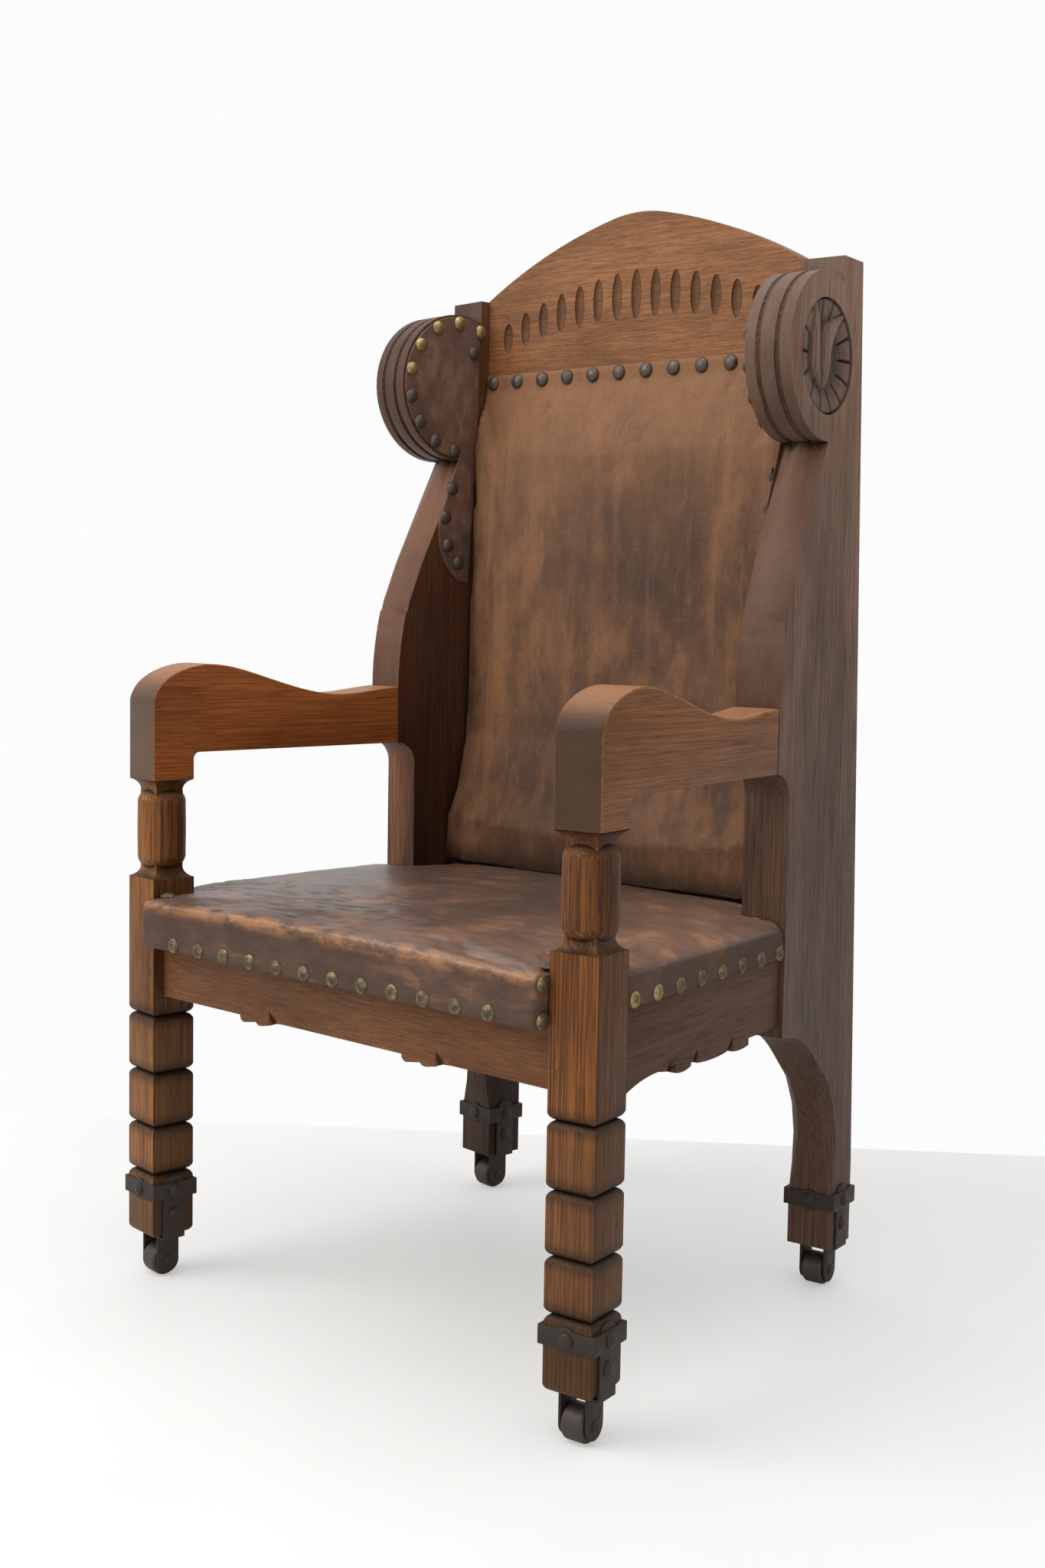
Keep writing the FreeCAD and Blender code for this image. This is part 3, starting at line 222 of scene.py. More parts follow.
def makeOak(name, grain, dark, mid, light, streak=0.8, gloss=0.42, rise=0.0, fleck=1.0, pore=1.0,
            soiledAndShaded=False, shadeUnderSeat=1.0):
    finish = Finish(name)
    up = finish.axis(2)
    level = 1 - rise * oakLook["riseStart"] + rise * up.between(*oakLook["riseLevel"])
    # painted shade below the seat on the far board
    level = level * (shadeUnderSeat + (1 - shadeUnderSeat) * up.between(*oakLook["seatShade"]))
    if grain == "y":
        finish.place = finish.alongSides(sideFrame["splay"])

    def along(kind, shorter=1.0):
        across, length = oakLook[kind]
        scale = (across, across, length * shorter)
        return finish.stretch(tuple(scale[place] for place in oakLook["orders"][grain]))

    bands = finish.cloud(along("bandScale"), 4, 0.6, 0.3).between(*oakLook["bandLevel"])
    streaks = finish.cloud(along("streakScale", fleck), 4, 0.65, 0.3).between(*oakLook["streakLevel"])
    pores = finish.cloud(along("poreScale", fleck), 2, 0.6).between(*oakLook["poreLevel"])
    fibre = finish.cloud(along("fibreScale", fleck), 2, 0.6)
    blotch = finish.cloud(along("blotchScale"), 5, 0.62)
    broad = 1 - oakLook["bandShare"] + oakLook["bandShare"] * bands
    porous = pores * (1 - oakLook["streakFill"] * streaks) * pore
    body = finish.mix(streaks * broad * streak, mid, light)
    body = finish.mix(blotch.between(*oakLook["blotchLevel"]) * oakLook["blotchShare"], body, dark)
    body = finish.mix(porous * oakLook["poreShare"], body, shade(dark, oakLook["poreShade"]))
    body = finish.mix(fibre.between(*oakLook["fibreLevel"]) * oakLook["fibreShare"], body, light)
    body = finish.scaled(finish.tinted(body, "wearAndShading"), level)
    if soiledAndShaded:
        body = soilAndShadePost(finish, body, blotch, dark)
    # dirt and painted shade in the corners and hollows
    dirtAndShade = finish.hollowDarkening(oakLook["hollowReach"], *oakLook["hollowLevel"])
    body = finish.mix(dirtAndShade * oakLook["hollowShare"], body, shade(dark, oakLook["hollowShade"]))
    fibreRise, streakRise, poreFall = oakLook["relief"]
    height = fibre * fibreRise + streaks * streakRise - porous * poreFall
    poreDull, blotchDull = oakLook["dull"]
    return finish.surface(Base_Color=body, Roughness=gloss + porous * poreDull + blotch * blotchDull,
                          Normal=finish.bump(height, *oakLook["bump"]), Specular_IOR_Level=oakLook["shine"])


# old hide: mottled, scratched, with fine grain; the worn tone comes in patches
hideLook = {
    "smallScale": 4.2, "speckScale": (420, 420, 420), "grainScale": (620, 620, 620), "puckerScale": 1.6,
    "scratchScale": (34, 34, 700), "scratchTurn": (0.5, 0.35, 0.2), "grainLevel": (0.0, 0.22),
    "scratchLevel": (0.63, 0.72), "creaseLevel": (0.0, 0.05), "wornLevel": (0.30, 0.70),
    "speckLevel": (0.6, 0.75), "hollowLevel": (0.35, 0.9), "hollowReach": 0.03, "broadShare": 0.62,
    "wornShare": 0.55, "speckShare": 0.25, "scratchShare": 0.22, "scratchGain": 1.25, "creaseShare": 0.12,
    "creaseShade": 0.6, "hollowShare": 0.7, "hollowShade": 0.3, "relief": (0.3, 0.6, 0.25, 0.2, 1.2),
    "dull": (0.18, 0.08, 0.05), "bump": (0.32, 0.0011), "coatRough": 0.33,
}


def makeHide(name, dark, mid, worn, patchScale, patchLevel, creaseScale, gloss, shine, edges=None):
    finish = Finish(name)
    broad = finish.cloud(finish.stretch(patchScale), 4, 0.6, 0.5)
    small = finish.cloud(finish.stretch(shade(patchScale, hideLook["smallScale"])), 4, 0.65)
    speck = finish.cloud(finish.stretch(hideLook["speckScale"]), 2, 0.6)
    grain = finish.cells(finish.stretch(hideLook["grainScale"]), "DISTANCE_TO_EDGE")
    grain = grain.between(*hideLook["grainLevel"])
    scratch = finish.cloud(finish.stretch(hideLook["scratchScale"], hideLook["scratchTurn"]), 2, 0.5)
    scratch = scratch.between(*hideLook["scratchLevel"])
    creases = finish.cells(finish.stretch(creaseScale), "DISTANCE_TO_EDGE").between(*hideLook["creaseLevel"])
    puckers = finish.cloud(finish.stretch(shade(creaseScale, hideLook["puckerScale"])), 5, 0.7, 0.9)
    wear = (broad * hideLook["broadShare"] + small * (1 - hideLook["broadShare"])).between(*patchLevel)
    body = finish.mix(wear, dark, mid)
    body = finish.mix((wear * small).between(*hideLook["wornLevel"]) * hideLook["wornShare"], body, worn)
    matt, coat = 0.0, 0.0
    if edges:
        body, matt, coat = edges(finish, body, small)
    body = finish.mix(speck.between(*hideLook["speckLevel"]) * hideLook["speckShare"], body, worn)
    body = finish.mix(scratch * hideLook["scratchShare"], body, shade(worn, hideLook["scratchGain"]))
    body = finish.mix((1 - creases) * hideLook["creaseShare"], body, shade(dark, hideLook["creaseShade"]))
    # dirt and painted shade in the creases and hollows
    dirtAndShade = finish.hollowDarkening(hideLook["hollowReach"], *hideLook["hollowLevel"])
    body = finish.mix(dirtAndShade * hideLook["hollowShare"], body, shade(dark, hideLook["hollowShade"]))
    layers = (grain, small, creases, speck, puckers)
    height = sum(layer * weight for layer, weight in zip(layers, hideLook["relief"]))
    smallDull, grainDull, wearShine = hideLook["dull"]
    rough = gloss + small * smallDull + (1 - grain) * grainDull - wear * wearShine + matt
    return finish.surface(Base_Color=body, Roughness=rough, Normal=finish.bump(height, *hideLook["bump"]),
                          Specular_IOR_Level=shine, Coat_Weight=coat, Coat_Roughness=hideLook["coatRough"])


# metal with patina that lies in the hollows and comes in spots
metalLook = {
    "spotScale": (150, 150, 150), "fineScale": (900, 900, 900), "spotShare": 0.7, "hollowReach": 0.003,
    "hollowLevel": (0.4, 0.98), "hollowShare": 0.85, "hollowShade": 0.4, "relief": 0.5, "dull": (0.25, 0.1),
    "patinaMatt": 0.7, "bump": (0.35, 0.0006),
}


def makeMetal(name, bright, patina, amount, gloss, metallic):
    finish = Finish(name)
    spots = finish.cloud(finish.stretch(metalLook["spotScale"]), 4, 0.65)
    fine = finish.cloud(finish.stretch(metalLook["fineScale"]), 3, 0.6)
    cover = (spots * metalLook["spotShare"] + fine * (1 - metalLook["spotShare"])).between(*amount)
    hollow = finish.hollowDarkening(metalLook["hollowReach"], *metalLook["hollowLevel"])
    body = finish.mix(cover, bright, patina)
    body = finish.mix(hollow * metalLook["hollowShare"], body, shade(patina, metalLook["hollowShade"]))
    height = spots * metalLook["relief"] + fine * metalLook["relief"]
    coverDull, fineDull = metalLook["dull"]
    return finish.surface(Base_Color=body, Roughness=gloss + cover * coverDull + fine * fineDull,
                          Metallic=metallic * (1 - cover * metalLook["patinaMatt"]),
                          Normal=finish.bump(height, *metalLook["bump"]))


webLook = {
    "pitch": 1900, "fuzzScale": (500, 500, 500), "weaveShare": 0.3, "level": (0.2, 0.6), "rough": 0.9,
    "weaveRise": 0.5, "bump": (0.5, 0.0007), "sheenSide": (0.36, 0.28, 0.17), "dark": (0.17, 0.12, 0.065),
}


def makeWebbing(name):
    finish = Finish(name)
    weave = (finish.axis(0) * webLook["pitch"]).wave() * (finish.axis(1) * webLook["pitch"]).wave()
    fuzz = finish.cloud(finish.stretch(webLook["fuzzScale"]), 3, 0.6)
    mixed = weave * webLook["weaveShare"] + fuzz * (1 - webLook["weaveShare"])
    body = finish.mix(mixed.between(*webLook["level"]), webLook["dark"], webLook["sheenSide"])
    return finish.surface(Base_Color=body, Roughness=webLook["rough"],
                          Normal=finish.bump(weave * webLook["weaveRise"] + fuzz, *webLook["bump"]))


# a merged copy of a CAD node, flat areas made into whole faces
def copyNode(node, flatten=0.6):
    shape = bmesh.new()
    shape.from_mesh(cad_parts[node].data)
    bmesh.ops.remove_doubles(shape, verts=shape.verts, dist=1e-5)
    if flatten:
        bmesh.ops.dissolve_limit(shape, angle_limit=math.radians(flatten), verts=shape.verts,
                                 edges=shape.edges)
    return shape


def addPiece(name, shape, materials, replaced=(), body="chair", wearAndShading=None):
    mesh = bpy.data.meshes.new(name)
    shape.to_mesh(mesh)
    shape.free()
    if wearAndShading:
        layer = mesh.attributes.new("wearAndShading", "FLOAT_VECTOR", "FACE")
        for face, tint in zip(mesh.polygons, layer.data):
            tint.vector = wearAndShading(face.normal, face.center)
    piece = bpy.data.objects.new(name, mesh)
    bpy.context.collection.objects.link(piece)
    for material in materials:
        mesh.materials.append(material)
    for face in mesh.polygons:
        face.use_smooth = True
    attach(piece, body)
    if replaced:
        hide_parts(*replaced)
    return piece


def easeEdges(piece, width, segments=3, angle=32, worn=-1):
    bevel = piece.modifiers.new("easedEdge", "BEVEL")
    bevel.width, bevel.segments, bevel.limit_method = width, segments, "ANGLE"
    bevel.angle_limit = math.radians(angle)
    bevel.harden_normals = True
    bevel.material = worn


def sidePoint(side, reach, outward, height):
    turn = sideFrame["splay"]
    x = sideFrame["halfSpan"] + outward * math.cos(turn) - reach * math.sin(turn)
    y = sideFrame["frontY"] + outward * math.sin(turn) + reach * math.cos(turn)
    return Vector((side * x, y, height))


# one metre back along a side frame, or out from it
def sideWay(side, reach, outward):
    return sidePoint(side, reach, outward, 0) - sidePoint(side, 0, 0, 0)


def smoothStep(low, high, value):
    share = min(1.0, max(0.0, (value - low) / (high - low)))
    return share * share * (3 - 2 * share)


# a chain of spots turned once round the z axis
def spinRound(shape, spots, steps):
    chain = [shape.edges.new(pair) for pair in zip(spots, spots[1:])]
    bmesh.ops.spin(shape, geom=spots + chain, cent=(0, 0, 0), axis=(0, 0, 1), angle=math.tau, steps=steps,
                   use_merge=True)
    bmesh.ops.remove_doubles(shape, verts=shape.verts, dist=1e-6)


def runModifiers(piece):
    held = piece.evaluated_get(bpy.context.evaluated_depsgraph_get())
    mesh = bpy.data.meshes.new_from_object(held)
    piece.modifiers.clear()
    old, piece.data = piece.data, mesh
    bpy.data.meshes.remove(old)


setCamera()
sky = bpy.data.worlds.new("studioSky")
bpy.context.scene.world = sky
sky.use_nodes = True
skyNodes, skyLinks = sky.node_tree.nodes, sky.node_tree.links
ray = skyNodes.new("ShaderNodeLightPath")
seen = skyNodes.new("ShaderNodeMath")
seen.operation = "MAXIMUM"
skyLinks.new(ray.outputs["Is Camera Ray"], seen.inputs[0])
skyLinks.new(ray.outputs["Is Glossy Ray"], seen.inputs[1])
level = skyNodes.new("ShaderNodeMapRange")
level.inputs["To Min"].default_value = studio["skyLevel"]
level.inputs["To Max"].default_value = studio["white"]
skyLinks.new(seen.outputs[0], level.inputs["Value"])
skyLinks.new(level.outputs[0], skyNodes["Background"].inputs["Strength"])
skyNodes["Background"].inputs["Color"].default_value = (1, 1, 1, 1)
for name, look in lamps.items():
    addLamp(name, *look)
bpy.context.scene.view_settings.view_transform = "Standard"
print("studio set")

oakTones = {
    "post": ((0.036, 0.013, 0.004), (0.090, 0.030, 0.008), (0.260, 0.094, 0.020)),
    "board": ((0.040, 0.021, 0.013), (0.098, 0.054, 0.036), (0.205, 0.118, 0.076)),
    "arm": ((0.048, 0.019, 0.006), (0.120, 0.046, 0.014), (0.290, 0.120, 0.038)),
    "cross": ((0.060, 0.026, 0.010), (0.150, 0.063, 0.024), (0.330, 0.150, 0.060)),
    "edge": ((0.090, 0.038, 0.014), (0.155, 0.068, 0.027), (0.250, 0.122, 0.053)),
    "inner": ((0.060, 0.036, 0.020), (0.130, 0.080, 0.045), (0.200, 0.130, 0.078)),
    # oak worn smooth by handling, greyer in tone: handling wear and a painted sheen
    "handledSheen": ((0.070, 0.036, 0.018), (0.128, 0.066, 0.036), (0.180, 0.096, 0.052)),
}
oak = {
    "post": makeOak("oakPost", "z", *oakTones["post"], 1.0, soiledAndShaded=True),
    "board": makeOak("oakBoard", "z", *oakTones["board"], 0.7, 0.40, 0.85),
    "boardFar": makeOak("oakBoardFar", "z", *oakTones["board"], 0.7, 0.40, 0.85, shadeUnderSeat=0.42),
    "arm": makeOak("oakArm", "y", *oakTones["arm"], 0.5, fleck=1.6, pore=0.6),
    "cross": makeOak("oakCross", "x", *oakTones["cross"], 0.5, fleck=4.5, pore=0.6),
    "inner": makeOak("oakInner", "z", *oakTones["inner"], 0.6, 0.55),
    "innerCross": makeOak("oakInnerCross", "x", *oakTones["inner"], 0.6, 0.55),
    "edgeUp": makeOak("oakWornEdgeUp", "z", *oakTones["edge"], 0.7, 0.38),
    "edgeBack": makeOak("oakWornEdgeBack", "y", *oakTones["edge"], 0.7, 0.38),
    "edgeCross": makeOak("oakWornEdgeCross", "x", *oakTones["edge"], 0.7, 0.38),
    "edgePost": makeOak("oakWornEdgePost", "z", *oakTones["edge"], 0.7, 0.38, soiledAndShaded=True),
    "handledSheen": makeOak("oakHandledSheen", "y", *oakTones["handledSheen"], 0.12, 0.42, pore=0.2),
    "rim": makeOak("oakRim", "z", *oakTones["board"], 0.15, 0.40, 0.85, pore=0.2),
}
timber = {
    "front_post": ("post", "edgePost", 0.0020), "side_board": ("board", "edgeUp", 0.0018),
    "arm": ("arm", "edgeBack", 0.0026), "side_seat_rail": ("arm", "edgeBack", 0.0016),
}
crossTimber = {
    "front_seat_rail": ("cross", "edgeCross", 0.0016), "lower_back_rail": ("innerCross", "edgeCross", 0.0015),
    "rear_seat_rail": ("innerCross", "edgeCross", 0.0015), "back_panel": ("inner", "edgeUp", 0.0010),
    "oak_pegs": ("post", "edgeBack", 0.0004), "corner_blocks": ("innerCross", "edgeCross", 0.0010),
}
timberNodes = {f"{node}_{side}": look for node, look in timber.items() for side in ("left", "right")}
timberNodes |= crossTimber
timberNodes["side_board_left"] = ("boardFar", *timber["side_board"][1:])


# each face's lightness and warmth, set to match the photo: wear and grime, and some of its light and shade
wearAndShadingRules = {
    "front_post_left": {"right": (0.54, 1.06), "front": (1.44, 0.95), "top": (0.46, 0.9),
                        "under": (0.46, 0.9)},
    "front_post_right": {"right": (0.50, 1.04), "front": (0.93, 1.06), "top": (0.46, 0.9),
                         "under": (0.46, 0.9)},
    "arm_left": {"top": (2.1, 1.1), "front": (0.92, 0.87), "right": (1.20, 1.36)},
    "arm_right": {"top": (2.1, 1.1), "front": (0.44, 1.08), "right": (1.06, 1.07)},
    "side_board_left": {"right": (0.34, 1.6), "front": (0.96, 1.25), "lowFront": (1.6, 1.40)},
    "side_board_right": {"left": (0.45, 1.3), "front": (0.92, 1.1), "right": (1.0, 1.06)},
    "side_seat_rail_left": {"right": (0.5, 1.1), "left": (0.5, 1.1)},
    "side_seat_rail_right": {"right": (0.37, 1.16), "left": (0.5, 1.1)},
    "front_seat_rail": {"front": (0.72, 1.1)}, "crest_rail": {"front": (1.24, 1.05)},
}
# tint of the scroll rims above this level: painted light and shade, darker on the left
scrollWearAndShading = {"level": 1.02, "seat": 0.44, "left": (0.45, 1.09), "right": (0.88, 0.98)}


# above this level the boards' edges are smooth
smoothLevel = 0.717


def tintOf(amount, warmth):
    return Vector((amount * warmth, amount, amount / warmth))


def wearAndShadingOf(node):
    rule = wearAndShadingRules.get(node, {})
    rim = tintOf(*scrollWearAndShading[node.rsplit("_")[-1]]) if node.startswith("side_board") else None

    def wearAndShading(normal, centre):
        ways = {"right": normal.x, "left": -normal.x, "rear": normal.y, "front": -normal.y,
                "top": normal.z, "under": -normal.z}
        total = Vector()
        for way, amount in ways.items():
            tint = tintOf(*rule.get(way, (1, 1)))
            if rim and centre.z > scrollWearAndShading["level"] and way not in ("left", "right"):
                tint = rim
            elif way == "front" and "lowFront" in rule and scrollWearAndShading["seat"] < centre.z < smoothLevel:
                tint = tintOf(*rule["lowFront"])
            total += tint * max(0, amount) ** 4
        return total / sum(amount ** 4 for amount in normal)

    return wearAndShading


for node, (tone, edge, width) in timberNodes.items():
    piece = addPiece(node + "_dressed", copyNode(node), [oak[tone], oak[edge]], (node,),
                     wearAndShading=wearAndShadingOf(node))
    easeEdges(piece, width, worn=1)
    if node.startswith(("arm", "side_board")):
        piece.data.materials.append(oak["handledSheen" if tone == "arm" else "rim"])
        for face in piece.data.polygons:
            across = abs(face.normal.x) < 0.5
            face.material_index = 2 if across and (tone == "arm" or face.center.z > smoothLevel) else 0
print("timber dressed")

# crest rail, with a row of gouge flutes that follows its arch
crest = {
    "count": 15, "span": 0.43, "depth": 0.0046, "radius": 0.0080, "halfHeight": 0.031, "midLevel": 1.222,
    "archRise": 0.052, "archSpan": 0.25, "frontY": 0.224613, "edge": 0.0018, "cutTint": (0.9, 0.88, 0.86),
    "endShrink": 0.42, "steps": 24, "stacks": 16, "sharpAngle": 24, "flatNormal": 0.9995,
}


def carveCrest():
    piece = addPiece("crest_rail_dressed", copyNode("crest_rail"), [oak["cross"], oak["edgeCross"]],
                     ("crest_rail",), wearAndShading=wearAndShadingOf("crest_rail"))
    easeEdges(piece, crest["edge"], worn=1)
    piece.modifiers["easedEdge"].harden_normals = False
    runModifiers(piece)
    tools = bmesh.new()
    for index in range(crest["count"]):
        x = crest["span"] * (index / (crest["count"] - 1) - 0.5)
        share = 1 - crest["endShrink"] * abs(x / crest["archSpan"])
        height = crest["midLevel"] - crest["archRise"] * (x / crest["archSpan"]) ** 2
        middle = Vector((x, crest["frontY"], height))
        grow = Matrix.Diagonal((crest["radius"], crest["depth"], crest["halfHeight"] * share, 1))
        bmesh.ops.create_uvsphere(tools, u_segments=crest["steps"], v_segments=crest["stacks"], radius=1,
                                  matrix=Matrix.Translation(middle) @ grow)
    mesh = bpy.data.meshes.new("gougeTools")
    tools.to_mesh(mesh)
    tools.free()
    cutter = bpy.data.objects.new("gougeTools", mesh)
    bpy.context.collection.objects.link(cutter)
    carve = piece.modifiers.new("gouge", "BOOLEAN")
    carve.operation, carve.object, carve.solver = "DIFFERENCE", cutter, "EXACT"
    runModifiers(piece)
    bpy.data.objects.remove(cutter)
    piece.data.set_sharp_from_angle(angle=math.radians(crest["sharpAngle"]))
    for face in piece.data.polygons:
        face.use_smooth = abs(face.normal.y) < crest["flatNormal"]
    layer = piece.data.attributes["wearAndShading"]
    for tint in layer.data:
        if tint.vector.length == 0:
            tint.vector = crest["cutTint"]


carveCrest()
print("crest carved")

# rosette sunk in the outer face of each scroll: a ring of petals round a dish, with a bell flower across it
rosette = {
    "radius": 0.0657, "depth": 0.0108, "reach": 0.466, "height": 1.116, "rings": 40, "turns": 280,
    "petals": 14, "dish": 0.0100, "lip": 0.0016, "groove": 0.0056, "petalEdge": 0.26,
    "dishSpan": (0.30, 0.95), "cutSpan": (0.54, 0.68), "rimSpan": (0.965, 1.0), "bellTop": 0.0006,
    "bellFall": 0.0040, "bellSlope": 0.13, "bellEdge": (-0.03, 0.02), "lowTint": 0.24, "highTint": 0.76,
    "bellTint": 1.02, "tintLow": 0.85, "tintHigh": -0.0018, "tintInside": 0.04, "warmth": 0.97,
}
# each leaf of the bell: a level, then its left and right edge there, in shares of the radius
bellLeaves = [
    [(-0.60, -0.14, -0.10), (-0.42, -0.42, -0.14), (-0.2, -0.55, -0.17), (0.2, -0.53, -0.19),
     (0.6, -0.50, -0.22), (0.85, -0.52, -0.34), (1.1, -0.56, -0.54)],
    [(-0.60, -0.12, -0.06), (-0.42, -0.15, 0.14), (-0.2, -0.17, 0.22), (0.1, -0.19, 0.25),
     (0.35, -0.20, 0.36), (0.55, -0.05, 0.52), (0.70, 0.32, 0.68), (0.88, 0.74, 0.82)],
]


# how far inside a leaf a spot lies, in shares of the radius
def insideLeaf(leaf, back, up):
    for (low, left, right), (high, nextLeft, nextRight) in zip(leaf, leaf[1:]):
        if low <= up <= high:
            share = (up - low) / (high - low)
            return min(back - left - (nextLeft - left) * share, right + (nextRight - right) * share - back)
    return -1.0


def rosetteHeight(back, up):
    away = math.hypot(back, up)
    turn = math.atan2(up, back)
    petal = smoothStep(0.0, rosette["petalEdge"], abs(math.sin(turn * rosette["petals"] / 2)))
    ring = smoothStep(*rosette["dishSpan"], away)
    cut = (1 - petal) * smoothStep(*rosette["cutSpan"], away) + smoothStep(*rosette["rimSpan"], away)
    height = -rosette["dish"] * (1 - ring) - ring * rosette["lip"] - rosette["groove"] * cut
    inside = max(insideLeaf(leaf, back, up) for leaf in bellLeaves)
    crown = -rosette["bellTop"] - rosette["bellFall"] * (1 - smoothStep(0.0, rosette["bellSlope"], inside))
    return height + (crown - height) * smoothStep(*rosette["bellEdge"], inside)


def carveRosette(side):
    shape = bmesh.new()
    radius, rings = rosette["radius"], rosette["rings"]
    spots = [shape.verts.new((radius * ring / rings, 0, 0)) for ring in range(rings + 1)]
    spinRound(shape, spots, rosette["turns"])
    rim = [edge for edge in shape.edges if edge.is_boundary]
    wall = bmesh.ops.extrude_edge_only(shape, edges=rim)["geom"]
    skirt = {item for item in wall if isinstance(item, bmesh.types.BMVert)}
    for vert in shape.verts:
        lift = rosetteHeight(vert.co.x / radius, vert.co.y / radius)
        vert.co.z = -rosette["depth"] if vert in skirt else lift
    bmesh.ops.holes_fill(shape, edges=[edge for edge in shape.edges if edge.is_boundary])
    back, out = sideWay(side, 1, 0), sideWay(side, 0, 1)
    turn = Matrix((back, Vector((0, 0, 1)), out)).transposed().to_4x4()
    face = sidePoint(side, rosette["reach"], sideFrame["halfLeg"], rosette["height"])
    bmesh.ops.transform(shape, matrix=Matrix.Translation(face) @ turn, verts=shape.verts)
    bmesh.ops.recalc_face_normals(shape, faces=shape.faces)
    name = "rosette_right" if side > 0 else "rosette_left"

    # each face's tint: painted shade low in the dish and grooves, a painted highlight on the raised bell
    def wearAndShading(normal, centre):
        lift = (centre - face).dot(out)
        raised = smoothStep(-rosette["dish"] * rosette["tintLow"], rosette["tintHigh"], lift)
        spot = (centre - face) / radius
        inside = max(insideLeaf(leaf, spot.dot(back), spot.z) for leaf in bellLeaves)
        bright = rosette["bellTint"] if inside > rosette["tintInside"] else rosette["highTint"]
        return tintOf(rosette["lowTint"] + (bright - rosette["lowTint"]) * raised, rosette["warmth"])

    addPiece(name, shape, [oak["board"]], wearAndShading=wearAndShading)


for side in (1, -1):
    carveRosette(side)
print("rosettes carved")


# leather: voxel skin over the CAD form, swollen by pressure, then dimpled and creased
def skinFrom(node, name, voxel, shrink, loose):
    shape = copyNode(node, 0)
    mesh = bpy.data.meshes.new(name)
    shape.to_mesh(mesh)
    shape.free()
    piece = bpy.data.objects.new(name, mesh)
    bpy.context.collection.objects.link(piece)
    remesh = piece.modifiers.new("skin", "REMESH")
    remesh.mode, remesh.voxel_size = "VOXEL", voxel
    runModifiers(piece)
    skin = bmesh.new()
    skin.from_mesh(piece.data)
    free = [vert for vert in skin.verts if loose(vert.co)]
    bmesh.ops.smooth_vert(skin, verts=free, factor=0.5, use_axis_x=True, use_axis_y=True, use_axis_z=True)
    skin.normal_update()
    for vert in free:
        vert.co -= vert.normal * shrink
    skin.to_mesh(piece.data)
    skin.free()
    return piece


clothRun = {"frames": 20, "quality": 4}


def swell(piece, pressure, cap, pinned):
    starts = [vert.co.copy() for vert in piece.data.vertices]
    group = piece.vertex_groups.new(name="tacked")
    group.add([vert.index for vert in piece.data.vertices if pinned(vert.co, vert.normal)], 1.0, "REPLACE")
    cloth = piece.modifiers.new("stuffing", "CLOTH")
    cloth.settings.use_pressure = True
    cloth.settings.uniform_pressure_force = pressure
    cloth.settings.effector_weights.gravity = 0
    cloth.settings.vertex_group_mass = "tacked"
    cloth.settings.quality = clothRun["quality"]
    scene = bpy.context.scene
    for step in range(1, clothRun["frames"] + 1):
        scene.frame_set(step)
    held = piece.evaluated_get(bpy.context.evaluated_depsgraph_get())
    moved = [vert.co.copy() for vert in held.data.vertices]
    piece.modifiers.clear()
    scene.frame_set(1)
    for vert, start, now in zip(piece.data.vertices, starts, moved):
        limit = cap(start)
        step = now - start
        vert.co = start + (step * (limit / step.length) if step.length > limit else step)
    piece.vertex_groups.clear()


# islands of a node, such as its separate nail heads: the spots of each
def islands(node):
    shape = copyNode(node, 0)
    seenVerts, found = set(), []
    for start in shape.verts:
        if start in seenVerts:
            continue
        group, todo = [], [start]
        seenVerts.add(start)
        while todo:
            vert = todo.pop()
            group.append(vert.co.copy())
            for edge in vert.link_edges:
                other = edge.other_vert(vert)
                if other not in seenVerts:
                    seenVerts.add(other)
                    todo.append(other)
        found.append(group)
    shape.free()
    return found


# where a head sits, and its outward direction
def headPlace(points, outward):
    axis = outward.normalized()
    low = min(point.dot(axis) for point in points)
    middle = sum(points, Vector()) / len(points)
    return middle + axis * (low - middle.dot(axis)), axis


hides = {
    "seat": ((0.060, 0.033, 0.023), (0.112, 0.059, 0.038), (0.215, 0.098, 0.045)),
    "back": ((0.062, 0.032, 0.020), (0.135, 0.063, 0.031), (0.233, 0.109, 0.048)),
    "wing": ((0.088, 0.043, 0.028), (0.145, 0.074, 0.049), (0.205, 0.114, 0.075)),
}


# seat and back leather
seat = {
    "voxel": 0.0043, "shrink": 0.0010, "pressure": 4.0, "topCap": 0.0035, "sideCap": 0.0012,
    "tackLevel": 0.452, "brimLevel": 0.468, "underNormal": 0.3, "dimpleReach": 0.017, "dimple": 0.0012,
    "topNailLevel": 0.472, "frontNailY": -0.305, "fill": 0.7, "rubFrom": (-0.309, -0.292),
    "rubLevel": (0.455, 0.470), "rubPatch": (0.37, 0.60), "rubTone": (0.36, 0.160, 0.060), "rubShare": 0.85,
    "lowLevel": (0.462, 0.474), "sideFrom": (-0.29, -0.26), "sideShare": 0.6, "sideShade": 0.8,
    "sheenFrom": (0.10, 0.30), "sheenGain": 1.5, "coatEnd": (0.10, 0.19), "coat": 0.46, "sheenCoat": 0.4,
    "lowMatt": 0.3,
}
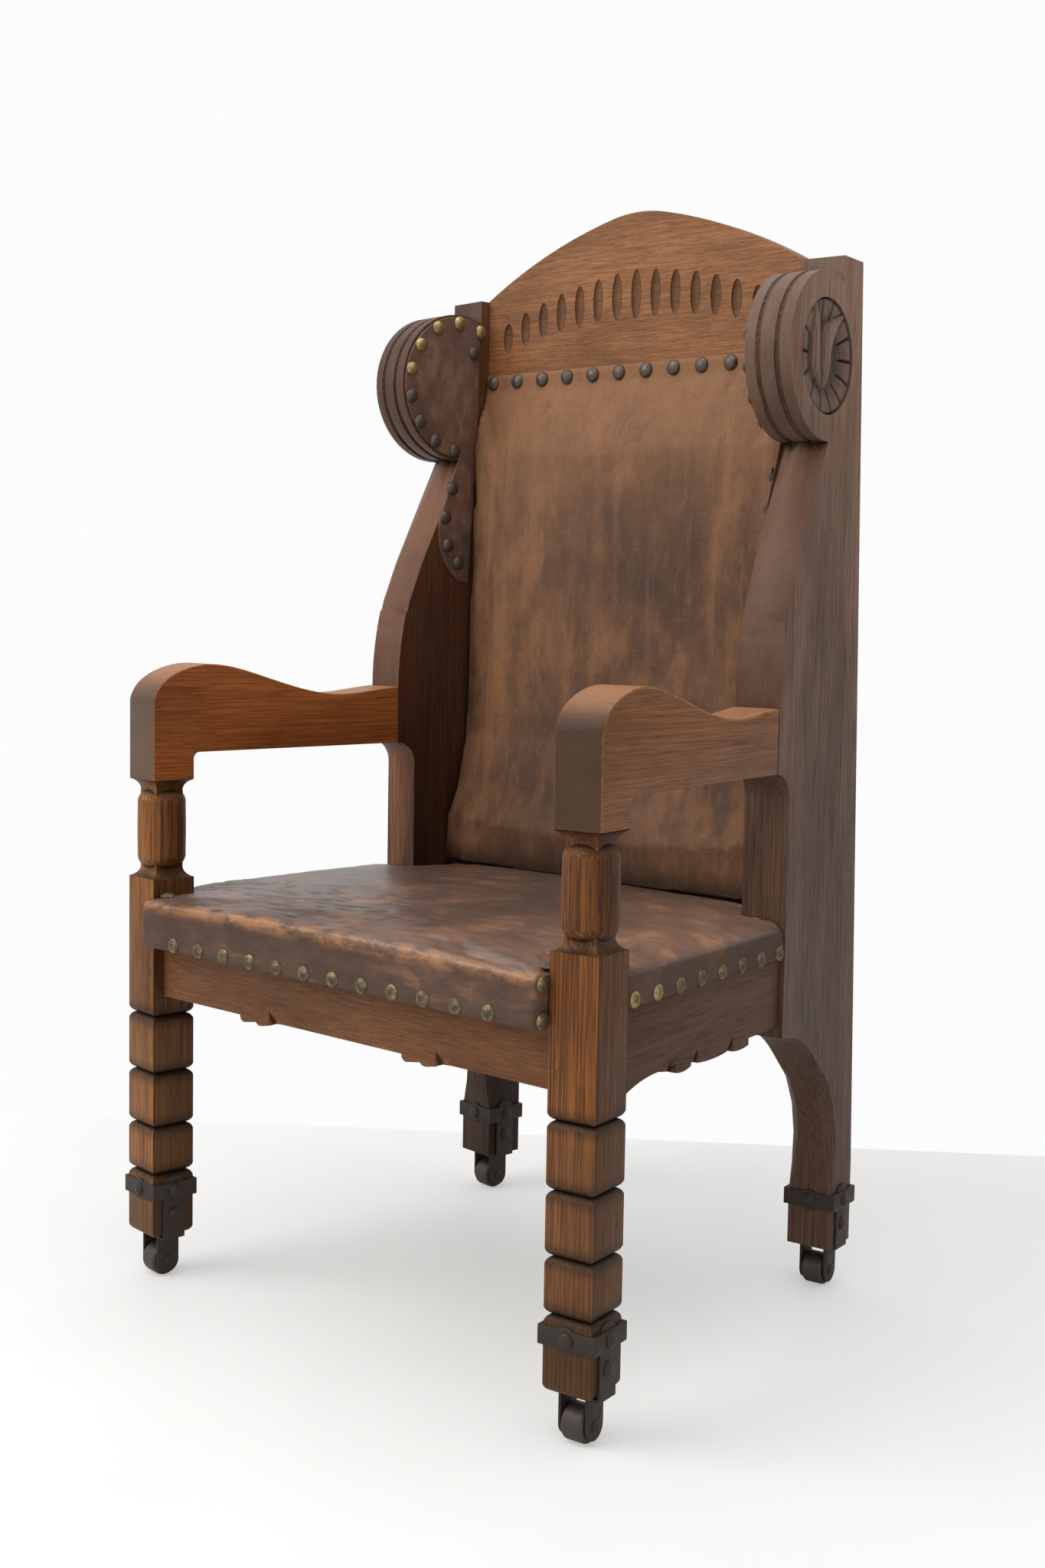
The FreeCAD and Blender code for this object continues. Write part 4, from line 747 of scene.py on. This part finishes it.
back = {
    "voxel": 0.0043, "shrink": 0.0020, "pressure": 4.0, "faceCap": 0.006, "sideCap": 0.0020,
    "tackLevel": 1.106, "wallY": 0.2180, "dimpleReach": 0.020, "dimple": 0.0014, "drop": 0.003,
    "dropFrom": 0.485, "dropLevel": 0.53, "hemLevel": 0.492, "fill": 0.75, "highFrom": (0.92, 1.24),
    "highPatch": 0.16, "highShare": 0.85, "sideFrom": (0.10, 0.24), "sidePatch": (0.30, 0.66),
    "sideShare": 0.5, "streakScale": (30, 30, 2.4), "streakLevel": (0.48, 0.66), "streakShare": (0.25, 0.5),
    "cloudScale": (9, 9, 4.5), "cloudLevel": (0.52, 0.70), "cloudShare": 0.5, "cloudShade": 0.78,
    "mottleScale": (60, 60, 26), "darkMottle": (0.52, 0.72), "darkShare": 0.36, "darkShade": 0.75,
    "paleMottle": (0.30, 0.48), "paleShare": 0.3, "weaveScale": (820, 820, 560), "weaveSpan": (0.66, 0.68),
    "rollFrom": (0.484, 0.520), "rollShare": 0.85, "rollShade": 0.35,
}


def seatWearAndSheen(finish, body, small):
    across, along, up = (finish.axis(which) for which in range(3))
    edge = (1 - along.between(*seat["rubFrom"])) * up.between(*seat["rubLevel"])
    rub = edge * small.between(*seat["rubPatch"])
    low = 1 - up.between(*seat["lowLevel"])
    side = along.between(*seat["sideFrom"])
    sheenSide = across.between(*seat["sheenFrom"])
    body = finish.mix(low * side * seat["sideShare"], body, shade(hides["seat"][0], seat["sideShade"]))
    # painted sheen: the seat top lightened towards its right side, where its coat is raised too
    body = finish.scaled(body, 1 + seat["sheenGain"] * (1 - low) * sheenSide)
    coat = (1 - low) * (1 - along.between(*seat["coatEnd"])) * (seat["coat"] + seat["sheenCoat"] * sheenSide)
    return finish.mix(rub * seat["rubShare"], body, seat["rubTone"]), low * seat["lowMatt"], coat


def backWearAndShade(finish, body, small):
    dark, _, worn = hides["back"]
    across, up = finish.axis(0).away(), finish.axis(2)
    high = (up + small * back["highPatch"]).between(*back["highFrom"])
    sides = across.between(*back["sideFrom"])
    streaks = finish.cloud(finish.stretch(back["streakScale"]), 4, 0.6, 0.6).between(*back["streakLevel"])
    clouds = finish.cloud(finish.stretch(back["cloudScale"]), 4, 0.65, 0.8).between(*back["cloudLevel"])
    mottle = finish.cloud(finish.stretch(back["mottleScale"]), 5, 0.7, 0.4)
    weave = finish.cloud(finish.stretch(back["weaveScale"]), 2, 0.6)
    # painted shade along the rolled bottom edge, in the gap above the seat
    gapShade = 1 - up.between(*back["rollFrom"])
    streakStart, streakGain = back["streakShare"]
    weaveStart, weaveGain = back["weaveSpan"]
    body = finish.mix(clouds * (1 - high) * back["cloudShare"], body, shade(dark, back["cloudShade"]))
    body = finish.mix(streaks * (streakStart + streakGain * sides), body, worn)
    body = finish.mix(high * back["highShare"], body, worn)
    body = finish.mix(sides * small.between(*back["sidePatch"]) * back["sideShare"], body, worn)
    body = finish.scaled(body, weaveStart + weaveGain * weave)
    spots = mottle.between(*back["darkMottle"]) * back["darkShare"]
    body = finish.mix(spots, body, shade(dark, back["darkShade"]))
    body = finish.mix((1 - mottle.between(*back["paleMottle"])) * back["paleShare"], body, worn)
    return finish.mix(gapShade * back["rollShare"], body, shade(dark, back["rollShade"])), 0.0, 0.0


hide = {
    "seat": makeHide("seatHide", *hides["seat"], (6, 7, 14), (0.40, 0.64), (30, 95, 50), 0.40, 0.3, seatWearAndSheen),
    "back": makeHide("backHide", *hides["back"], (5, 5, 2.6), (0.38, 0.62), (44, 60, 34), 0.52, 0.22,
                     backWearAndShade),
    "wing": makeHide("wingHide", *hides["wing"], (14, 14, 9), (0.42, 0.62), (60, 60, 50), 0.46, 0.4),
}


def dimple(piece, heads, reach, depth):
    for vert in piece.data.vertices:
        for spot, axis in heads:
            away = (vert.co - spot).length
            if away < reach:
                vert.co -= axis * depth * (1 - away / reach) ** 2


def ripple(piece, amount):
    shape = bmesh.new()
    shape.from_mesh(piece.data)
    shape.normal_update()
    for vert in shape.verts:
        vert.co += vert.normal * amount(vert.co, vert.normal)
    shape.to_mesh(piece.data)
    shape.free()


def finishSoft(piece, material, node):
    piece.data.materials.append(material)
    for face in piece.data.polygons:
        face.use_smooth = True
    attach(piece, "chair")
    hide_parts(node)


def nailAxis(points):
    middle = sum(points, Vector()) / len(points)
    if middle.z > seat["topNailLevel"]:
        return Vector((0, 0, 1))
    if middle.y < seat["frontNailY"]:
        return Vector((0, -1, 0))
    if middle.y < sideFrame["frontY"]:
        return Vector((math.copysign(1, middle.x), 0, 0))
    return sideWay(math.copysign(1, middle.x), 0, 1)


seatHeads = [headPlace(points, nailAxis(points)) for points in islands("seat_nails")]
backHeads = [headPlace(points, Vector((0, -1, 0))) for points in islands("back_nails")]


# wrinkles: how far each noise reaches and how steeply it changes
wrinkles = {
    "seatFlat": (0.5, 0.95), "seatBroad": 0.0015, "seatBroadScale": (7, 9), "seatFold": 0.0014,
    "seatFoldScale": (12, 9, 62), "seatFoldWidth": 0.13, "seatFrontEnd": (-0.20, -0.02),
    "seatFineScale": 38, "backFacing": (0.4, 0.9), "backBroad": 0.0022, "backBroadScale": (8, 3.2),
    "backFineScale": 30, "fine": 0.0004,
}


def seatRipple(spot, normal):
    flat = smoothStep(*wrinkles["seatFlat"], normal.z)
    across, along = wrinkles["seatBroadScale"]
    broad = noise.noise(Vector((spot.x * across, spot.y * along, 2.0))) * wrinkles["seatBroad"]
    across, slant, along = wrinkles["seatFoldScale"]
    fold = abs(noise.noise(Vector((spot.x * across + spot.y * slant, spot.y * along, 7.0))))
    front = 1 - smoothStep(*wrinkles["seatFrontEnd"], spot.y)
    crease = (1 - smoothStep(0.0, wrinkles["seatFoldWidth"], fold)) * wrinkles["seatFold"] * front
    return flat * (broad - crease) + noise.noise(spot * wrinkles["seatFineScale"]) * wrinkles["fine"]


def backRipple(spot, normal):
    facing = smoothStep(*wrinkles["backFacing"], -normal.y)
    across, along = wrinkles["backBroadScale"]
    broad = noise.noise(Vector((spot.x * across, 3.0, spot.z * along))) * wrinkles["backBroad"]
    fine = noise.noise(spot * wrinkles["backFineScale"]) * wrinkles["fine"]
    return (facing * broad + fine) * smoothStep(back["hemLevel"], back["dropLevel"], spot.z)


def coverSeat():
    piece = skinFrom("seat_pad", "seat_leather", seat["voxel"], seat["shrink"],
                     lambda spot: spot.z > seat["tackLevel"])
    swell(piece, seat["pressure"],
          lambda spot: seat["topCap"] if spot.z > seat["brimLevel"] else seat["sideCap"],
          lambda spot, normal: spot.z < seat["tackLevel"] or normal.z < seat["underNormal"])
    ripple(piece, seatRipple)
    dimple(piece, seatHeads, seat["dimpleReach"], seat["dimple"])
    finishSoft(piece, hide["seat"], "seat_pad")
    print("seat covered", len(piece.data.vertices))


def coverBack():
    piece = skinFrom("back_pad", "back_leather", back["voxel"], back["shrink"],
                     lambda spot: spot.z < back["tackLevel"])
    swell(piece, back["pressure"],
          lambda spot: back["faceCap"] if spot.z < back["tackLevel"] else back["sideCap"],
          lambda spot, normal: (spot.y > back["wallY"]
                                or not back["hemLevel"] < spot.z < back["tackLevel"]))
    ripple(piece, backRipple)
    for vert in piece.data.vertices:
        vert.co.z -= back["drop"] * (1 - smoothStep(back["dropFrom"], back["dropLevel"], vert.co.z))
    dimple(piece, backHeads, back["dimpleReach"], back["dimple"])
    finishSoft(piece, hide["back"], "back_pad")
    print("back covered", len(piece.data.vertices))


coverSeat()
coverBack()


# wing patches: thin hide on the scrolls' inner faces
wing = {
    "seamReach": 0.470, "seamLevel": 1.039, "seamPull": 0.018, "tipLevel": 0.855, "tipPull": 0.009,
    "span": 0.03, "edge": (0.0011, 3, 30),
}


def coverWings():
    for side, name in ((1, "right"), (-1, "left")):
        node = f"wing_leather_{name}"
        shape = copyNode(node)
        rear = sideWay(side, 1, 0)
        for vert in shape.verts:
            if (vert.co - sidePoint(side, 0, 0, 0)).dot(rear) > wing["seamReach"]:
                for end in ("seam", "tip"):
                    near = abs(vert.co.z - wing[end + "Level"]) < wing["span"]
                    vert.co += rear * wing[end + "Pull"] * near
        piece = addPiece(f"wing_hide_{name}", shape, [hide["wing"]], (node,))
        easeEdges(piece, *wing["edge"])


coverWings()

# nail heads: stamped brass on the seat, plain bronze domes on back and wings
heads = {
    "steps": 20, "rings": 5, "brassRadius": 0.0090, "brassRise": 0.0046, "stampPetals": 10,
    "stampDepth": 0.0011, "stampSpan": (0.2, 0.95), "backRadius": 0.0098, "backRise": 0.0062,
    "wingRadius": 0.0094, "wingRise": 0.0054, "sink": 0.0008, "wingSink": 0.0004, "shinyX": 0.25,
    "shinyFrom": -0.24, "shinyTo": -0.16, "brightLevel": 1.125, "ringReach": 0.086,
}


def domeMesh(name, radius, rise, petals=0, stamp=0.0):
    shape = bmesh.new()
    spots = []
    for ring in range(heads["rings"] + 1):
        turn = math.pi / 2 * ring / heads["rings"]
        spots.append(shape.verts.new((radius * math.cos(turn), 0, rise * math.sin(turn))))
    spinRound(shape, spots, heads["steps"])
    stampFrom, stampTo = heads["stampSpan"]
    for vert in shape.verts:
        away = math.hypot(vert.co.x, vert.co.y) / radius
        if petals and stampFrom < away < stampTo:
            vert.co.z -= stamp * (0.5 + 0.5 * math.cos(petals * math.atan2(vert.co.y, vert.co.x)))
    bmesh.ops.holes_fill(shape, edges=[edge for edge in shape.edges if edge.is_boundary])
    bmesh.ops.recalc_face_normals(shape, faces=shape.faces)
    mesh = bpy.data.meshes.new(name)
    shape.to_mesh(mesh)
    shape.free()
    return mesh


def setHeads(name, mesh, places, material, replaced, sink):
    shape = bmesh.new()
    for spot, axis in places:
        known = len(shape.verts)
        shape.from_mesh(mesh)
        shape.verts.ensure_lookup_table()
        turn = axis.to_track_quat("Z", "Y").to_matrix().to_4x4()
        place = Matrix.Translation(spot - axis * sink) @ turn
        bmesh.ops.transform(shape, matrix=place, verts=shape.verts[known:])
    addPiece(name, shape, [material], replaced)


metal = {
    "brass": makeMetal("nailBrass", (0.29, 0.21, 0.10), (0.070, 0.051, 0.028), (0.34, 0.56), 0.30, 0.9),
    "bright": makeMetal("nailBright", (0.38, 0.28, 0.115), (0.13, 0.09, 0.034), (0.40, 0.62), 0.26, 0.95),
    "bronze": makeMetal("nailBronze", (0.105, 0.078, 0.060), (0.046, 0.036, 0.030), (0.36, 0.64), 0.26, 0.75),
    "iron": makeMetal("strapIron", (0.021, 0.0135, 0.0095), (0.025, 0.0115, 0.006), (0.40, 0.66), 0.50, 0.4),
    "roller": makeMetal("rollerIron", (0.044, 0.032, 0.026), (0.055, 0.032, 0.018), (0.44, 0.68), 0.44, 0.40),
}


def setNails():
    brassHead = domeMesh("brassHead", heads["brassRadius"], heads["brassRise"], heads["stampPetals"],
                         heads["stampDepth"])
    backHead = domeMesh("backHead", heads["backRadius"], heads["backRise"])
    wingHead = domeMesh("wingHead", heads["wingRadius"], heads["wingRise"])
    shiny = [place for place in seatHeads if place[0].x > heads["shinyX"]
             and heads["shinyFrom"] < place[0].y < heads["shinyTo"]]
    dull = [place for place in seatHeads if place not in shiny]
    setHeads("seat_nail_heads", brassHead, dull, metal["brass"], ("seat_nails",), heads["sink"])
    setHeads("seat_bright_heads", brassHead, shiny, metal["bright"], (), heads["sink"])
    setHeads("back_nail_heads", backHead, backHeads, metal["bronze"], ("back_nails",),
             heads["sink"])
    for side, name in ((1, "right"), (-1, "left")):
        inward = sideWay(side, 0, -1)
        hub = sidePoint(side, rosette["reach"], 0, rosette["height"])
        node = f"wing_nails_{name}"
        places = [headPlace(points, inward) for points in islands(node)]
        bright = [place for place in places if side < 0 and place[0].z > heads["brightLevel"]
                  and (place[0] - hub).length > heads["ringReach"]]
        dark = [place for place in places if place not in bright]
        setHeads(f"wing_nail_heads_{name}", wingHead, dark, metal["bronze"], (node,),
                 heads["wingSink"])
        if bright:
            setHeads(f"wing_bright_heads_{name}", wingHead, bright, metal["bright"], (),
                     heads["wingSink"])


setNails()
print("nails set")


# iron casters
caster = {
    "rivetRadius": 0.0088, "rivetRise": 0.0042, "rivetSink": 0.0003, "ironEdge": (0.0008, 2, 40),
    "rollerEdge": (0.0006, 2, 50),
}


def rivetPlaces(node, out, rear):
    groups = islands(node)
    centre = sum((point for group in groups for point in group), Vector()) / sum(map(len, groups))
    places = []
    for group in groups:
        middle = sum(group, Vector()) / len(group) - centre
        across, along = middle.dot(out), middle.dot(rear)
        outermost = abs(across) > abs(along)
        axis = out * math.copysign(1, across) if outermost else rear * math.copysign(1, along)
        places.append(headPlace(group, axis))
    return places


def dressCasters():
    rivetHead = domeMesh("rivetHead", caster["rivetRadius"], caster["rivetRise"])
    for end in ("front", "rear"):
        for side, name in ((1, "right"), (-1, "left")):
            corner = f"{end}_{name}"
            for part in ("fork", "band", "axle"):
                node = f"{corner}_caster_{part}"
                piece = addPiece(f"{corner}_iron_{part}", copyNode(node), [metal["iron"]], (node,))
                easeEdges(piece, *caster["ironEdge"])
            node = f"{corner}_caster_wheel"
            wheel = addPiece(f"{corner}_iron_roller", copyNode(node), [metal["roller"]], (node,),
                             f"{corner}_roller")
            easeEdges(wheel, *caster["rollerEdge"])
            node = f"{corner}_caster_rivets"
            places = rivetPlaces(node, sideWay(side, 0, 1), sideWay(side, 1, 0))
            setHeads(f"{corner}_iron_rivets", rivetHead, places, metal["iron"], (node,),
                     caster["rivetSink"])


dressCasters()
webbing = makeWebbing("girthWebbing")
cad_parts["seat_webbing"].data.materials.clear()
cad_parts["seat_webbing"].data.materials.append(webbing)
print("casters and webbing dressed")

floorMesh = bmesh.new()
bmesh.ops.create_grid(floorMesh, x_segments=1, y_segments=1, size=studio["floorSize"])
mesh = bpy.data.meshes.new("floor")
floorMesh.to_mesh(mesh)
floorMesh.free()
floor = bpy.data.objects.new("floor", mesh)
bpy.context.collection.objects.link(floor)
floorFinish = Finish("paleFloor")
dust = floorFinish.cloud(floorFinish.stretch(studio["dustScale"]), 5, 0.6).between(*studio["dustLevel"])
floorBody = floorFinish.mix(dust * studio["dustShare"], studio["floorTone"],
                            shade(studio["floorTone"], studio["dustShade"]))
floorFinish.surface(Base_Color=floorBody, Roughness=studio["floorRough"])
# past the wall line the floor shows as white as the wall
wallTurn = math.radians(studio["wallTurn"])
far = floorFinish.axis(0) * -math.sin(wallTurn) + floorFinish.axis(1) * math.cos(wallTurn)
pastWall = far.between(studio["wallDistance"], studio["wallDistance"] + studio["wallFade"])
farTone, nearTone = (studio["white"],) * 3, studio["floorGlow"]
farWhite = floorFinish.add("ShaderNodeEmission", {}, {"Color": farTone, "Strength": 1.0})
nearWhite = floorFinish.add("ShaderNodeEmission", {}, {"Color": nearTone, "Strength": 1.0})
sight = Tone(floorFinish, floorFinish.add("ShaderNodeLightPath", {}, {}).outputs["Is Camera Ray"])
lifted = {0: sight * studio["floorLift"], 1: floorFinish.shader.outputs[0], 2: nearWhite.outputs[0]}
near = floorFinish.add("ShaderNodeMixShader", {}, lifted)
split = floorFinish.add("ShaderNodeMixShader", {}, {0: pastWall, 1: near.outputs[0], 2: farWhite.outputs[0]})
floorFinish.add("ShaderNodeOutputMaterial", {"is_active_output": True}, {"Surface": split.outputs[0]})
mesh.materials.append(floorFinish.material)
